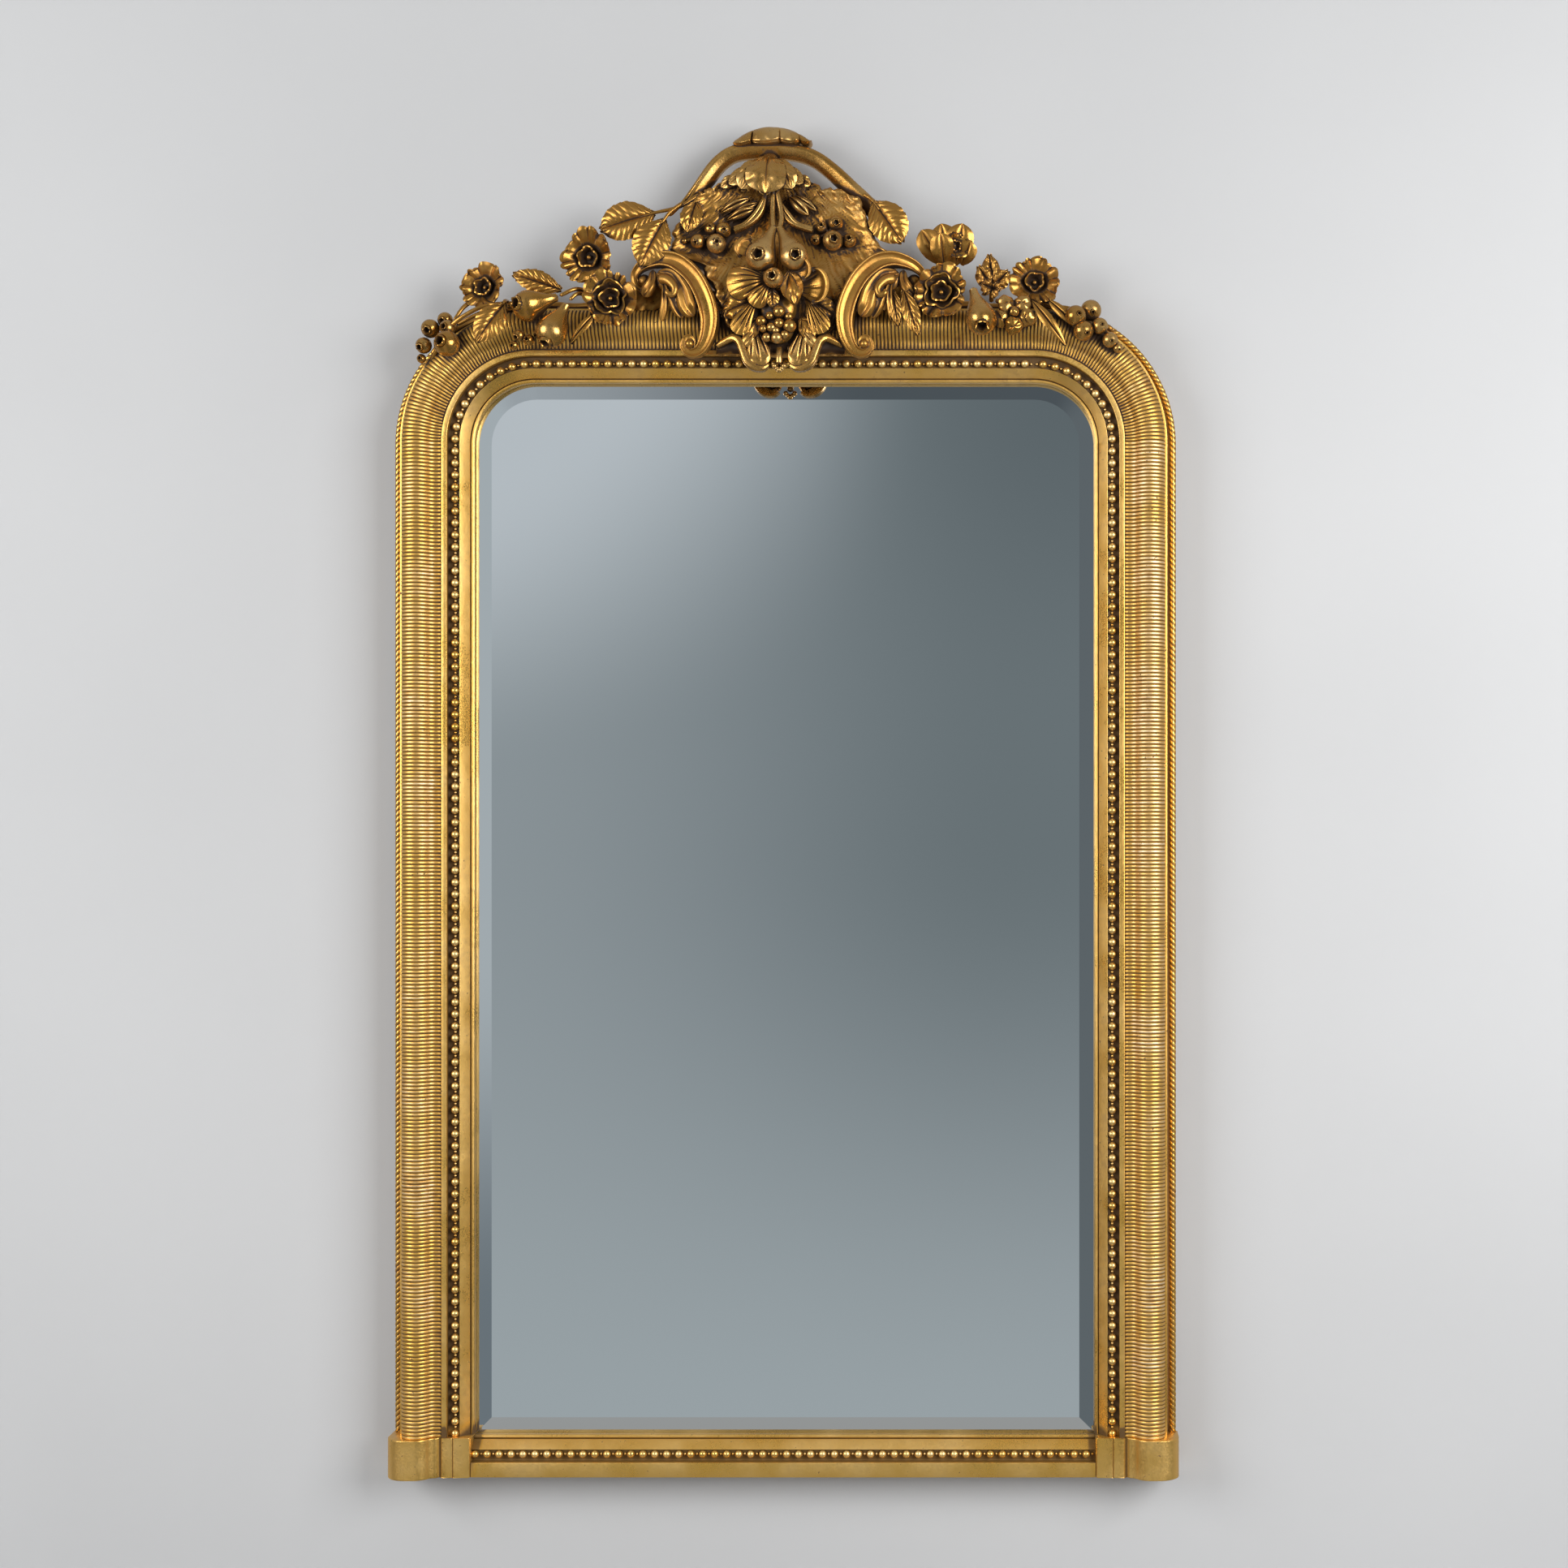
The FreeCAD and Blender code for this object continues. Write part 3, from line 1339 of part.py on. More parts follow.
def berries(word, side, envelope):
    grown = []
    for along, bunch in BUNCHES[word]:
        places = [edge_point(side, *place) for place, _ in bunch]
        parts = bough(side, places[0], bunch[0][0][2], along)
        parts += [ball(place, radius) for place, (_, radius) in zip(places, bunch)]
        parts += [rod(places[0], place, size("stalk_radius")) for place in places[1:]]
        grown.append(fitted(parts, envelope))
    return Part.makeCompound(grown)


def leaves(word, side, envelope):
    grown = []
    for root, tip, width, along in LEAVES[word]:
        start = edge_point(side, *root)
        blade = leaf(start, edge_point(side, *tip), width)
        held = [ball(start, size("stalk_radius"))] + bough(side, start, root[2], along)
        grown.append(fitted([blade] + held, envelope))
    return Part.makeCompound(grown + [arch_leaves(word)])


def arch_leaves(word):
    """Leaves beside the foot of the arch, on one peg in the cartouche's shoulder."""
    name = f"arch_leaf_{word}"
    x, rise = PEGS[name]
    front = shield_front(rise) + 9
    radius = size("stalk_radius")
    knot = crest_point(x, rise, front)
    parts = [peg(name, 9), ball(knot, size("peg_radius"))]
    for root, tip, width in ARCH_LEAVES[word]:
        start = crest_point(*root, front)
        parts += [rod(knot, start, radius), ball(start, radius)]
        parts.append(leaf(start, crest_point(*tip, front - 2), width))
    return fused(parts)


def garland(word, side):
    reach = STEM_REACH[word]
    carved(f"garland_stem_{word}", stem(side, reach, size("stem_radius")))
    envelope = stem(side, reach + 1, size("stem_radius + peg_gap"))
    carved(f"flowers_{word}", flowers(word, side, envelope))
    carved(f"fruit_{word}", fruit(word, side, envelope))
    carved(f"berries_{word}", berries(word, side, envelope))
    carved(f"leaves_{word}", leaves(word, side, envelope))


def crest():
    shield = cartouche()
    strap = arch(shield)
    carved("arch_strap", strap)
    carved("arch_cap", cap(strap))
    carved("palmette", palmette())
    carved("centre_fruit", centre_fruit())
    carved("centre_leaves", centre_leaves())
    carved("grape_cluster", grape_cluster())
    carved("pendant_shell", pendant())
    carved("cartouche_berries", cartouche_berries())
    carved("scroll_left", scroll())
    carved("scroll_right", mirrored(scroll()))
    carved("scroll_leaf_left", scroll_leaf())
    carved("scroll_leaf_right", mirrored(scroll_leaf()))
    for word, side in SIDES.items():
        garland(word, side)


def check_shapes():
    for item in doc.Objects:
        if "Invalid" in item.State or "Error" in item.State:
            raise ValueError(f"{item.Label} did not recompute")
    for item in nodes:
        shape = item.Shape
        if shape.isNull() or not shape.isValid():
            raise ValueError(f"{item.Label} is not a valid solid")


def main():
    fill_sheet()
    carcass()
    strap_screws()
    frame_lengths("moulding", moulding_section())
    frame_lengths("reeding", reeding_section())
    rope_edge()
    base()
    pearls()
    mirror_glass()
    backboards()
    crest_board()
    crest()
    doc.recompute()
    check_shapes()
    os.makedirs("parts", exist_ok=True)
    for item in nodes:
        item.Shape.exportStep(f"parts/{item.Label}.step")
        print(item.Label, len(item.Shape.Solids), round(item.Shape.Volume / 1000, 1), "cm3")


main()
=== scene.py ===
"""Gilt overmantel mirror: the visible pieces, their finishes and a plain studio."""

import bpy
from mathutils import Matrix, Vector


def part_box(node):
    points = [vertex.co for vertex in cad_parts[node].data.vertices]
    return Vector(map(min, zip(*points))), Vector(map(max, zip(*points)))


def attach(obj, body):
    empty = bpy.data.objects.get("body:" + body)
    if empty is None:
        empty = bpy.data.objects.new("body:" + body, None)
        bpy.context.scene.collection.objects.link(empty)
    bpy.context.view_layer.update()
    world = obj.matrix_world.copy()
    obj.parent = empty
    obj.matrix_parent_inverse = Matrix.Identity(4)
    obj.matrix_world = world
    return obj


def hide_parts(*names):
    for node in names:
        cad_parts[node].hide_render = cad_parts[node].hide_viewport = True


bl_info = {
    "name": "Overmantel mirror",
    "version": (1, 0, 0),
    "blender": (4, 5, 0),
    "location": "View3D > Sidebar > Mirror",
    "description": "Builds a gilt overmantel mirror round its construction frame",
    "category": "Object",
}

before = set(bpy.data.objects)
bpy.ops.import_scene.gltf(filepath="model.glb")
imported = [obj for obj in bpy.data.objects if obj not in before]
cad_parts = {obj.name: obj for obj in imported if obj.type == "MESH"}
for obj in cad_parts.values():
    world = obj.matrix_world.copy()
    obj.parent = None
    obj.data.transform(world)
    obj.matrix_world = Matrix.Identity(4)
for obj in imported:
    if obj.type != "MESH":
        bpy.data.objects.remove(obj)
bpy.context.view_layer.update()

import math

import bpy
import numpy as np
from bpy.props import FloatProperty, FloatVectorProperty, IntProperty, PointerProperty
from mathutils.bvhtree import BVHTree

MM = 0.001
TURN = 6.3  # about a whole turn, for seeded starts
OUT = (0, -1, 0)  # from the wall to the room
UP = (0, 0, 1)
SIDES = {"left": -1, "right": 1}

# Outline of the frame, read from the construction pieces
HALF_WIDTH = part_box("rope_right")[1].x
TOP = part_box("rope_top")[1].z
ARC_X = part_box("moulding_top")[1].x
ARC_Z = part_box("moulding_left")[1].z
CORNER = HALF_WIDTH - ARC_X
BLOCK_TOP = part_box("moulding_left")[0].z
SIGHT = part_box("base_rail")[1].x
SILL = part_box("base_rail")[1].z
MOULDING = HALF_WIDTH - SIGHT
LEDGE = -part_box("moulding_left")[1].y


def length(name, millimetres, text):
    size = millimetres * MM
    return FloatProperty(name=name, description=text, default=size, min=0, unit="LENGTH", precision=4)


def colour(name, value, text):
    return FloatVectorProperty(
        name=name, description=text, default=value, size=4, subtype="COLOR", min=0, max=1
    )


def share(name, value, text):
    return FloatProperty(name=name, description=text, default=value, min=0, max=1, subtype="FACTOR")


def power(name, watts, text):
    return FloatProperty(name=name, description=text, default=watts, min=0, unit="POWER")


class MouldingSizes(bpy.types.PropertyGroup):
    """Section of the frame. An inset is measured outward from the edge of the visible glass."""

    edge: length("Edge", 13, "Outer edge of the moulding, behind the rope")
    shoulder: length("Shoulder", 50, "Height of the shoulder where the bulge begins")
    bulge_inset: length("Bulge inset", 70.5, "Middle of the bulge")
    bulge_radius: length("Bulge radius", 20, "Radius of the bulge")
    hollow_radius: length("Hollow radius", 14, "Radius of the hollow beside the bulge")
    turn: FloatProperty(
        name="Turn", description="Where the bulge turns hollow", default=math.radians(35), subtype="ANGLE"
    )
    facing: length("Facing", 3, "Thickness of the reeded facing")
    fillet_inset: length("Fillet inset", 38, "Outer edge of the flat fillet")
    fillet: length("Fillet", 57, "Height of the flat fillet")
    bed_inset: length("Bed inset", 31, "Outer edge of the pearl bed")
    bed: length("Bed", 45, "Height of the pearl bed")
    slope_inset: length("Slope inset", 16, "Outer edge of the slope")
    slope_top: length("Slope top", 50, "Height of the slope's outer edge")
    slope_foot: length("Slope foot", 38, "Height of the slope's inner edge")
    bead: length("Sight bead", 2.5, "Radius of the bead next to the glass")
    bead_height: length("Bead height", 35, "Height of the bead's middle")
    rabbet_inset: length("Rabbet inset", 8, "Depth of the rabbet that holds the glass")
    rabbet: length("Rabbet", 26, "Height of the rabbet")
    softness: length("Softness", 0.8, "Rounding that gesso gives to every edge")
    rib_pitch: length("Rib pitch", 4.83, "Distance between ribs")
    rib_depth: length("Rib depth", 1.25, "Depth of the grooves between ribs")
    pearl_inset: length("Pearl inset", 22, "Line of the pearls")
    pearl_radius: length("Pearl radius", 5.2, "Radius of a pearl")
    pearl_pitch: length("Pearl pitch", 15.4, "Distance between pearls")
    rope_line: length("Rope line", 4.5, "Middle of the rope, inside the outer edge")
    rope_radius: length("Rope radius", 4.4, "Radius of the rope")
    strand_pitch: length("Strand pitch", 6.95, "Distance between strands along the rope")


class CrestSizes(bpy.types.PropertyGroup):
    """Sizes of the carving on the crest."""

    ground_front: length("Ground front", 80, "Face of the cartouche at its foot, from the wall")
    ground_top: length("Ground top", 56, "Face of the cartouche at its top, from the wall")
    furrow: length("Furrow", 0.8, "Depth of the furrows in the cartouche's ground")
    strap_width: length("Strap", 21, "Width of the strap over the cartouche")
    scroll_width: length("Scroll", 24, "Width of the scroll bands")
    stem_radius: length("Stem", 5.3, "Radius of the garlands' main stem")


class GildingLooks(bpy.types.PropertyGroup):
    """Colours of the gilding, the mirror and the wood behind."""

    leaf: colour("Leaf", (0.76, 0.43, 0.085, 1), "Gold leaf, toned with age")
    toned: colour("Toned leaf", (0.43, 0.213, 0.042, 1), "Gold leaf on the carving, toned darker")
    # Partly painted highlight: the worn ribs' pale tone also stands in for the near-white highlights on the
    # lit uprights
    worn: colour("Worn", (0.99, 0.91, 0.74, 1), "Paler gold on the worn ribs")
    rubbed: colour("Rubbed", (0.95, 0.7, 0.32, 1), "Gold rubbed bright on the high places")
    clay: colour("Clay", (0.3, 0.105, 0.022, 1), "Red clay that shows through thin leaf")
    # The wash's darkness follows how closely carving stands over a place, so it is partly wash and partly
    # painted shade
    wash: colour("Wash", (0.04, 0.017, 0.005, 1), "Dark toning wash left in the hollows")
    silver: colour("Silvering", (0.8, 0.83, 0.85, 1), "Silvered glass")
    softwood: colour("Softwood", (0.44, 0.28, 0.14, 1), "Planed carcass wood")
    boards: colour("Backboards", (0.24, 0.15, 0.08, 1), "Aged backboards")
    steel: colour("Steel", (0.42, 0.4, 0.37, 1), "Dull plated hardware")


class StudioLooks(bpy.types.PropertyGroup):
    """Backdrop, light and camera."""

    wall: colour("Wall", (0.5, 0.5, 0.503, 1), "Pale backdrop and floor")
    floor_drop: length("Floor drop", 260, "Floor below the base")
    key: power("Key", 104, "Power of the main soft light, on the right")
    fill: power("Fill", 76, "Power of the soft light on the left")
    light_size: length("Light size", 1800, "Width of each soft light")
    camera_x: length("Camera across", 310, "Camera to the right of the middle")
    camera_z: length("Camera height", 824, "Camera above the base")
    camera_y: length("Camera distance", 3050, "Camera in front of the wall")
    lens: FloatProperty(name="Lens", description="Focal length", default=53.4, min=1, unit="CAMERA")
    sensor: FloatProperty(name="Sensor", description="Width of the sensor", default=36, min=1, unit="CAMERA")
    shift_x: FloatProperty(name="Shift across", description="Picture shifted across", default=-0.153)
    shift_y: FloatProperty(name="Shift up", description="Picture shifted up", default=0.034)


# Meshes are collected as solids: a list of (points, faces) with every solid closed


def oriented(points, faces):
    """The faces turned so that the solid's volume is positive."""
    points = np.asarray(points, float)
    volume = 0.0
    for size in sorted({len(face) for face in faces}):
        alike = points[np.array([face for face in faces if len(face) == size])]
        first = alike[:, 0]
        for i in range(1, size - 1):
            volume += np.einsum("ij,ij->", first, np.cross(alike[:, i], alike[:, i + 1]))
    return faces if volume > 0 else [face[::-1] for face in faces]


def grid_faces(rows, columns, wrap, offset=0):
    """Quads of a grid whose columns may close on themselves."""
    across = np.arange(columns if wrap else columns - 1)
    down = np.arange(rows - 1)[:, None]
    a = down * columns + across
    b = down * columns + (across + 1) % columns
    quads = np.stack([a, b, b + columns, a + columns], axis=-1).reshape(-1, 4) + offset
    return quads.tolist()


def lofted(rings):
    """A solid through closed rings (rows, around, 3), with flat ends."""
    rings = np.asarray(rings, float)
    rows, around = rings.shape[:2]
    faces = grid_faces(rows, around, True)
    faces.append(list(range(around))[::-1])
    faces.append(list(range((rows - 1) * around, rows * around)))
    points = rings.reshape(-1, 3)
    return points, oriented(points, faces)


def grid_normals(points, wrap):
    down = np.gradient(points, axis=0)
    if wrap:
        across = (np.roll(points, -1, axis=1) - np.roll(points, 1, axis=1)) / 2
    else:
        across = np.gradient(points, axis=1)
    normal = np.cross(down, across)
    return normal / np.maximum(np.linalg.norm(normal, axis=2, keepdims=True), 1e-12)


def between(front, back, wrap=False):
    """A solid between a grid of front points and the same grid of back points."""
    rows, columns = front.shape[:2]
    count = rows * columns
    faces = grid_faces(rows, columns, wrap)
    faces += [face[::-1] for face in grid_faces(rows, columns, wrap, count)]
    first = list(range(columns))
    last = [(rows - 1) * columns + i for i in reversed(range(columns))]
    if wrap:
        loops = [loop + loop[:1] for loop in (first, last)]
    else:
        right = [i * columns + columns - 1 for i in range(1, rows)]
        left = [i * columns for i in reversed(range(rows - 1))]
        loops = [first + right + last[1:] + left]
    for loop in loops:
        faces += [[b, a, a + count, b + count] for a, b in zip(loop, loop[1:])]
    points = np.concatenate([front.reshape(-1, 3), back.reshape(-1, 3)])
    return points, oriented(points, faces)


def skinned(front, thickness, wrap=False, facing=None):
    """A solid skin whose front is the grid and whose back lies a thickness behind it."""
    normal = grid_normals(front, wrap)
    if facing is not None and np.sum(normal * facing) < 0:
        normal = -normal
    return between(front, front - normal * np.broadcast_to(thickness, front.shape[:2])[..., None], wrap)


def slab(front, back_height):
    """A solid between a grid of front points and the same grid set back to given heights from the wall."""
    back = front.copy()
    back[..., 1] = -np.minimum(back_height, -front[..., 1] - 1.5 * MM)
    return between(front, back)


def unit(vector):
    vector = np.asarray(vector, float)
    return vector / max(np.linalg.norm(vector), 1e-12)


def distances(points):
    """How far along a path each of its points lies."""
    return np.concatenate([[0], np.cumsum(np.linalg.norm(np.diff(points, axis=0), axis=1))])


def smooth_path(points, count):
    """Evenly spaced places on a smooth curve through the points."""
    points = np.asarray(points, float)
    steps = distances(points)
    ends = np.vstack([2 * points[0] - points[1], points, 2 * points[-1] - points[-2]])
    places = []
    for place in np.linspace(0, steps[-1], 12 * len(points)):
        i = min(np.searchsorted(steps, place, "right") - 1, len(points) - 2)
        t = (place - steps[i]) / (steps[i + 1] - steps[i])
        p0, p1, p2, p3 = ends[i : i + 4]
        bend = 2 * p0 - 5 * p1 + 4 * p2 - p3
        swing = 3 * p1 - p0 - 3 * p2 + p3
        places.append(0.5 * (2 * p1 + (p2 - p0) * t + bend * t**2 + swing * t**3))
    places = np.array(places)
    run = distances(places)
    even = np.linspace(0, run[-1], count)
    return np.stack([np.interp(even, run, places[:, k]) for k in range(3)], axis=1)


def swept(path, section):
    """A solid of a section (rows, around, 2), or one section for all rows, carried along a path."""
    tangent = np.gradient(path, axis=0)
    tangent /= np.linalg.norm(tangent, axis=1, keepdims=True)
    side = np.cross(tangent, OUT)
    side /= np.maximum(np.linalg.norm(side, axis=1, keepdims=True), 1e-9)
    lift = np.cross(side, tangent)
    return lofted(path[:, None] + section[..., :1] * side[:, None] + section[..., 1:] * lift[:, None])


def carried(path, outline, widths):
    """A solid of an outline carried along a path, with a width at each place."""
    return swept(path, outline[None] * widths[:, None, None])


def eased(count, places, values):
    """Values at even steps along a piece, given at some shares of its length."""
    return np.interp(np.linspace(0, 1, count), places, values)


def circle(count):
    turn = np.linspace(0, 2 * np.pi, count, endpoint=False)
    return np.stack([np.cos(turn), np.sin(turn)], axis=1)


def rounded_ends(count, reach):
    """Shares of full size along a piece whose ends round off within a reach of its length."""
    along = np.linspace(0, 1, count)
    near = np.minimum(along, 1 - along) / reach
    return np.sqrt(1 - (1 - np.clip(near, 0, 1)) ** 2).clip(0.06)


def tube(points, radius, around=10, end_radius=None, count=None, reach=0.06):
    """A round stem through the points with rounded ends."""
    count = count or max(6, int(distances(points)[-1] / (0.7 * radius)))
    radii = np.linspace(radius, radius if end_radius is None else end_radius, count)
    return carried(smooth_path(points, count), circle(around), radii * rounded_ends(count, reach))


def frame_of(facing):
    """Right, up and forward directions of something that faces a way."""
    forward = unit(facing)
    right = unit(np.cross(UP, forward))
    return right, np.cross(forward, right), forward


def spun(place, facing, turn, out, ahead):
    """Rings of points about the facing direction: turned, so far out and so far ahead of a place."""
    right, up, forward = frame_of(facing)
    spokes = np.cos(turn)[..., None] * right + np.sin(turn)[..., None] * up
    return place + out[..., None] * spokes + ahead[..., None] * forward


def turned(profile, place, facing, around, shape=None):
    """A solid turned about the facing direction from (radius, forward) pairs, pushed about by shape()."""
    turn = np.linspace(0, 2 * np.pi, around, endpoint=False)[None]
    radius = np.repeat(profile[:, :1], around, axis=1)
    ahead = np.repeat(profile[:, 1:], around, axis=1)
    if shape is not None:
        radius, ahead = shape(radius, ahead, turn)
    return lofted(spun(place, facing, turn, radius, ahead))


def merged(solids):
    points, faces, count = [], [], 0
    for some_points, some_faces in solids:
        points.append(np.asarray(some_points, float))
        faces += [[i + count for i in face] for face in some_faces]
        count += len(some_points)
    return np.concatenate(points), faces


def make_piece(name, solids, finish, sharp=50, hollow=None):
    """One object of solids that stands for the construction node of its name and moves with the frame."""
    points, faces = merged(solids)
    mesh = bpy.data.meshes.new(name)
    mesh.from_pydata(points.tolist(), [], faces)
    mesh.set_sharp_from_angle(angle=math.radians(sharp))
    attribute = mesh.attributes.new("hollow", "FLOAT", "POINT")
    if hollow is not None:
        attribute.data.foreach_set("value", np.asarray(hollow, np.float32))
    mesh.materials.append(gilt(finish))
    mesh.update()
    piece = bpy.data.objects.new(name, mesh)
    bpy.context.scene.collection.objects.link(piece)
    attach(piece, "frame")
    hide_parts(name)


# Finishes


def new_group(name, inputs, outputs):
    """An empty shader node group with named sockets."""
    group = bpy.data.node_groups.new(name, "ShaderNodeTree")
    for socket_name, kind, default in inputs:
        socket = group.interface.new_socket(socket_name, in_out="INPUT", socket_type=kind)
        socket.default_value = default
    for socket_name, kind in outputs:
        group.interface.new_socket(socket_name, in_out="OUTPUT", socket_type=kind)
    return group, group.nodes.new("NodeGroupInput"), group.nodes.new("NodeGroupOutput")


def place_of(tree):
    """Where a point lies on its object."""
    return tree.nodes.new("ShaderNodeTexCoord").outputs["Object"]


def noise(tree, place, scale, detail=3.0, stretch=None):
    """Noise of a size in cycles per metre, optionally stretched along an axis."""
    if stretch is not None:
        mapping = tree.nodes.new("ShaderNodeMapping")
        mapping.inputs["Scale"].default_value = stretch
        tree.links.new(place, mapping.inputs["Vector"])
        place = mapping.outputs["Vector"]
    texture = tree.nodes.new("ShaderNodeTexNoise")
    texture.inputs["Scale"].default_value = scale
    texture.inputs["Detail"].default_value = detail
    tree.links.new(place, texture.inputs["Vector"])
    return texture.outputs["Fac"]


def feed(tree, socket, value):
    """Link a socket to another node's output, or set its value."""
    if hasattr(value, "is_output"):
        tree.links.new(value, socket)
    else:
        socket.default_value = value


def number(tree, operation, *values, clamp=False):
    node = tree.nodes.new("ShaderNodeMath")
    node.operation = operation
    node.use_clamp = clamp
    for socket, value in zip(node.inputs, values):
        feed(tree, socket, value)
    return node.outputs["Value"]


def ranged(tree, value, low, high, to_low=0.0, to_high=1.0):
    """A value's range stretched to another one, held at its ends."""
    node = tree.nodes.new("ShaderNodeMapRange")
    node.interpolation_type = "SMOOTHSTEP"
    node.inputs["From Min"].default_value = low
    node.inputs["From Max"].default_value = high
    node.inputs["To Min"].default_value = to_low
    node.inputs["To Max"].default_value = to_high
    tree.links.new(value, node.inputs["Value"])
    return node.outputs["Result"]


def blended(tree, factor, first, second):
    node = tree.nodes.new("ShaderNodeMix")
    node.data_type = "RGBA"
    tones = [socket for socket in node.inputs if socket.type == "RGBA"]
    for socket, value in zip((node.inputs["Factor"], *tones), (factor, first, second)):
        feed(tree, socket, value)
    return next(socket for socket in node.outputs if socket.type == "RGBA")


def dimmed(tone, factor):
    """A colour made darker or paler."""
    return tuple(min(factor * value, 1) for value in tone[:3]) + (1,)


TONES = ("Leaf", "Rubbed", "Clay", "Wash")
AMOUNTS = ("Wash amount", "Clay amount", "Rub amount", "Gloss")
RESULTS = ("Metallic", "Roughness", "Height")


def gilding_group():
    """Aged gilding: toned leaf, dark wash in the hollows with painted shade where carving stands over, rubbed
    high places and clay showing through.
    """
    if "Aged gilding" in bpy.data.node_groups:
        return bpy.data.node_groups["Aged gilding"]
    inputs = [(name, "NodeSocketColor", (1, 1, 1, 1)) for name in TONES]
    inputs += [(name, "NodeSocketFloat", 0.5) for name in AMOUNTS]
    outputs = [("Colour", "NodeSocketColor")] + [(name, "NodeSocketFloat") for name in RESULTS]
    group, given, result = new_group("Aged gilding", inputs, outputs)
    leaf_tone, rubbed_tone, clay_tone, wash_and_shade_tone = (given.outputs[name] for name in TONES)
    wash_and_shade_amount, clay_amount, rub_amount, gloss = (given.outputs[name] for name in AMOUNTS)
    place = place_of(group)
    hollow = group.nodes.new("ShaderNodeAttribute")
    hollow.attribute_name = "hollow"
    patches = noise(group, place, 14, 4)
    mottle = noise(group, place, 95, 5)
    grain = noise(group, place, 520, 4)
    depth = number(group, "ADD", hollow.outputs["Fac"], number(group, "MULTIPLY_ADD", mottle, 0.22, -0.11))
    # Partly painted shade: the hollow value counts how closely carving stands over a place
    wash_and_shade = number(group, "MULTIPLY", ranged(group, depth, 0.08, 0.6), wash_and_shade_amount, clamp=True)
    specks = ranged(group, noise(group, place, 210, 2), 0.69, 0.76, 0, 0.8)
    wash_and_shade = number(group, "MAXIMUM", wash_and_shade, specks)
    high = ranged(group, depth, 0.1, -0.25)
    worn = number(group, "MULTIPLY", high, ranged(group, patches, 0.3, 0.75))
    rubbed = number(group, "MULTIPLY", worn, rub_amount, clamp=True)
    thin = number(group, "MULTIPLY", ranged(group, patches, 0.5, 0.7), ranged(group, mottle, 0.42, 0.68))
    thin = number(group, "ADD", thin, ranged(group, depth, 0.05, 0.3, 0, 0.45))
    clay = number(group, "MULTIPLY", thin, clay_amount, clamp=True)
    tone = blended(group, clay, leaf_tone, clay_tone)
    tone = blended(group, rubbed, tone, rubbed_tone)
    tone = blended(group, wash_and_shade, tone, wash_and_shade_tone)
    metal = number(group, "MULTIPLY_ADD", wash_and_shade, -0.7, 0.88)
    dull = number(group, "ADD", gloss, ranged(group, grain, 0.3, 0.7, -0.05, 0.08))
    dull = number(group, "ADD", dull, ranged(group, patches, 0.35, 0.65, -0.05, 0.07))
    dull = number(group, "ADD", dull, number(group, "MULTIPLY", wash_and_shade, 0.3), clamp=True)
    fine, coarse = number(group, "MULTIPLY", grain, 0.35), number(group, "MULTIPLY", mottle, 0.65)
    relief = number(group, "ADD", fine, coarse)
    for name, value in zip(("Colour", *RESULTS), (tone, metal, dull, relief)):
        group.links.new(value, result.inputs[name])
    return group


def new_material(name):
    material = bpy.data.materials.new(name)
    material.use_nodes = True
    return material, material.node_tree, material.node_tree.nodes["Principled BSDF"]


def raised(tree, surface, height, distance):
    bump = tree.nodes.new("ShaderNodeBump")
    bump.inputs["Distance"].default_value = distance
    bump.inputs["Strength"].default_value = 1.0
    tree.links.new(height, bump.inputs["Height"])
    tree.links.new(bump.outputs["Normal"], surface.inputs["Normal"])


# Gilded finishes: wash, clay, rubbing, roughness, relief in mm, tone of the leaf and of its high places
FINISHES = {
    "moulding_gilding": (0.9, 0.4, 0.35, 0.32, 0.35, "leaf", "rubbed"),
    # The reeding's worn high places partly paint the highlights of its lit ribs
    "reeding_gilding": (1.0, 0.45, 1.0, 0.42, 0.1, "leaf", "worn"),
    "pearl_gilding": (0.9, 0.2, 0.9, 0.31, 0.12, "leaf", "rubbed"),
    "rope_gilding": (1.0, 0.6, 0.6, 0.3, 0.15, "leaf", "rubbed"),
    "base_gilding": (0.8, 0.2, 0.4, 0.34, 0.4, "leaf", "rubbed"),
    "ground_gilding": (1.0, 0.5, 0.3, 0.4, 0.5, "toned", "rubbed"),
    "carved_gilding": (1.0, 0.3, 0.4, 0.28, 0.25, "toned", "rubbed"),
    "scroll_gilding": (1.0, 0.5, 0.05, 0.32, 0.25, "toned", "rubbed"),
    "leaf_gilding": (1.0, 0.5, 0.05, 0.33, 0.22, "toned", "rubbed"),
    "fruit_gilding": (1.0, 0.15, 0.4, 0.25, 0.15, "toned", "rubbed"),
}


def gilt(name):
    """The gilded finish of a name, made when it is first asked for."""
    if name in bpy.data.materials:
        return bpy.data.materials[name]
    *amounts, relief, leaf_tone, high_tone = FINISHES[name]
    looks = bpy.context.scene.mirror_gilding
    material, tree, surface = new_material(name)
    aged = tree.nodes.new("ShaderNodeGroup")
    aged.node_tree = gilding_group()
    for socket, tone in zip(TONES, (leaf_tone, high_tone, "clay", "wash")):
        aged.inputs[socket].default_value = getattr(looks, tone)
    for socket, amount in zip(AMOUNTS, amounts):
        aged.inputs[socket].default_value = amount
    for output, socket in (("Colour", "Base Color"), ("Metallic", "Metallic"), ("Roughness", "Roughness")):
        tree.links.new(aged.outputs[output], surface.inputs[socket])
    raised(tree, surface, aged.outputs["Height"], relief * MM)
    return material


# The frame's section, as (line, height) places; a line is measured inward from the outer edge


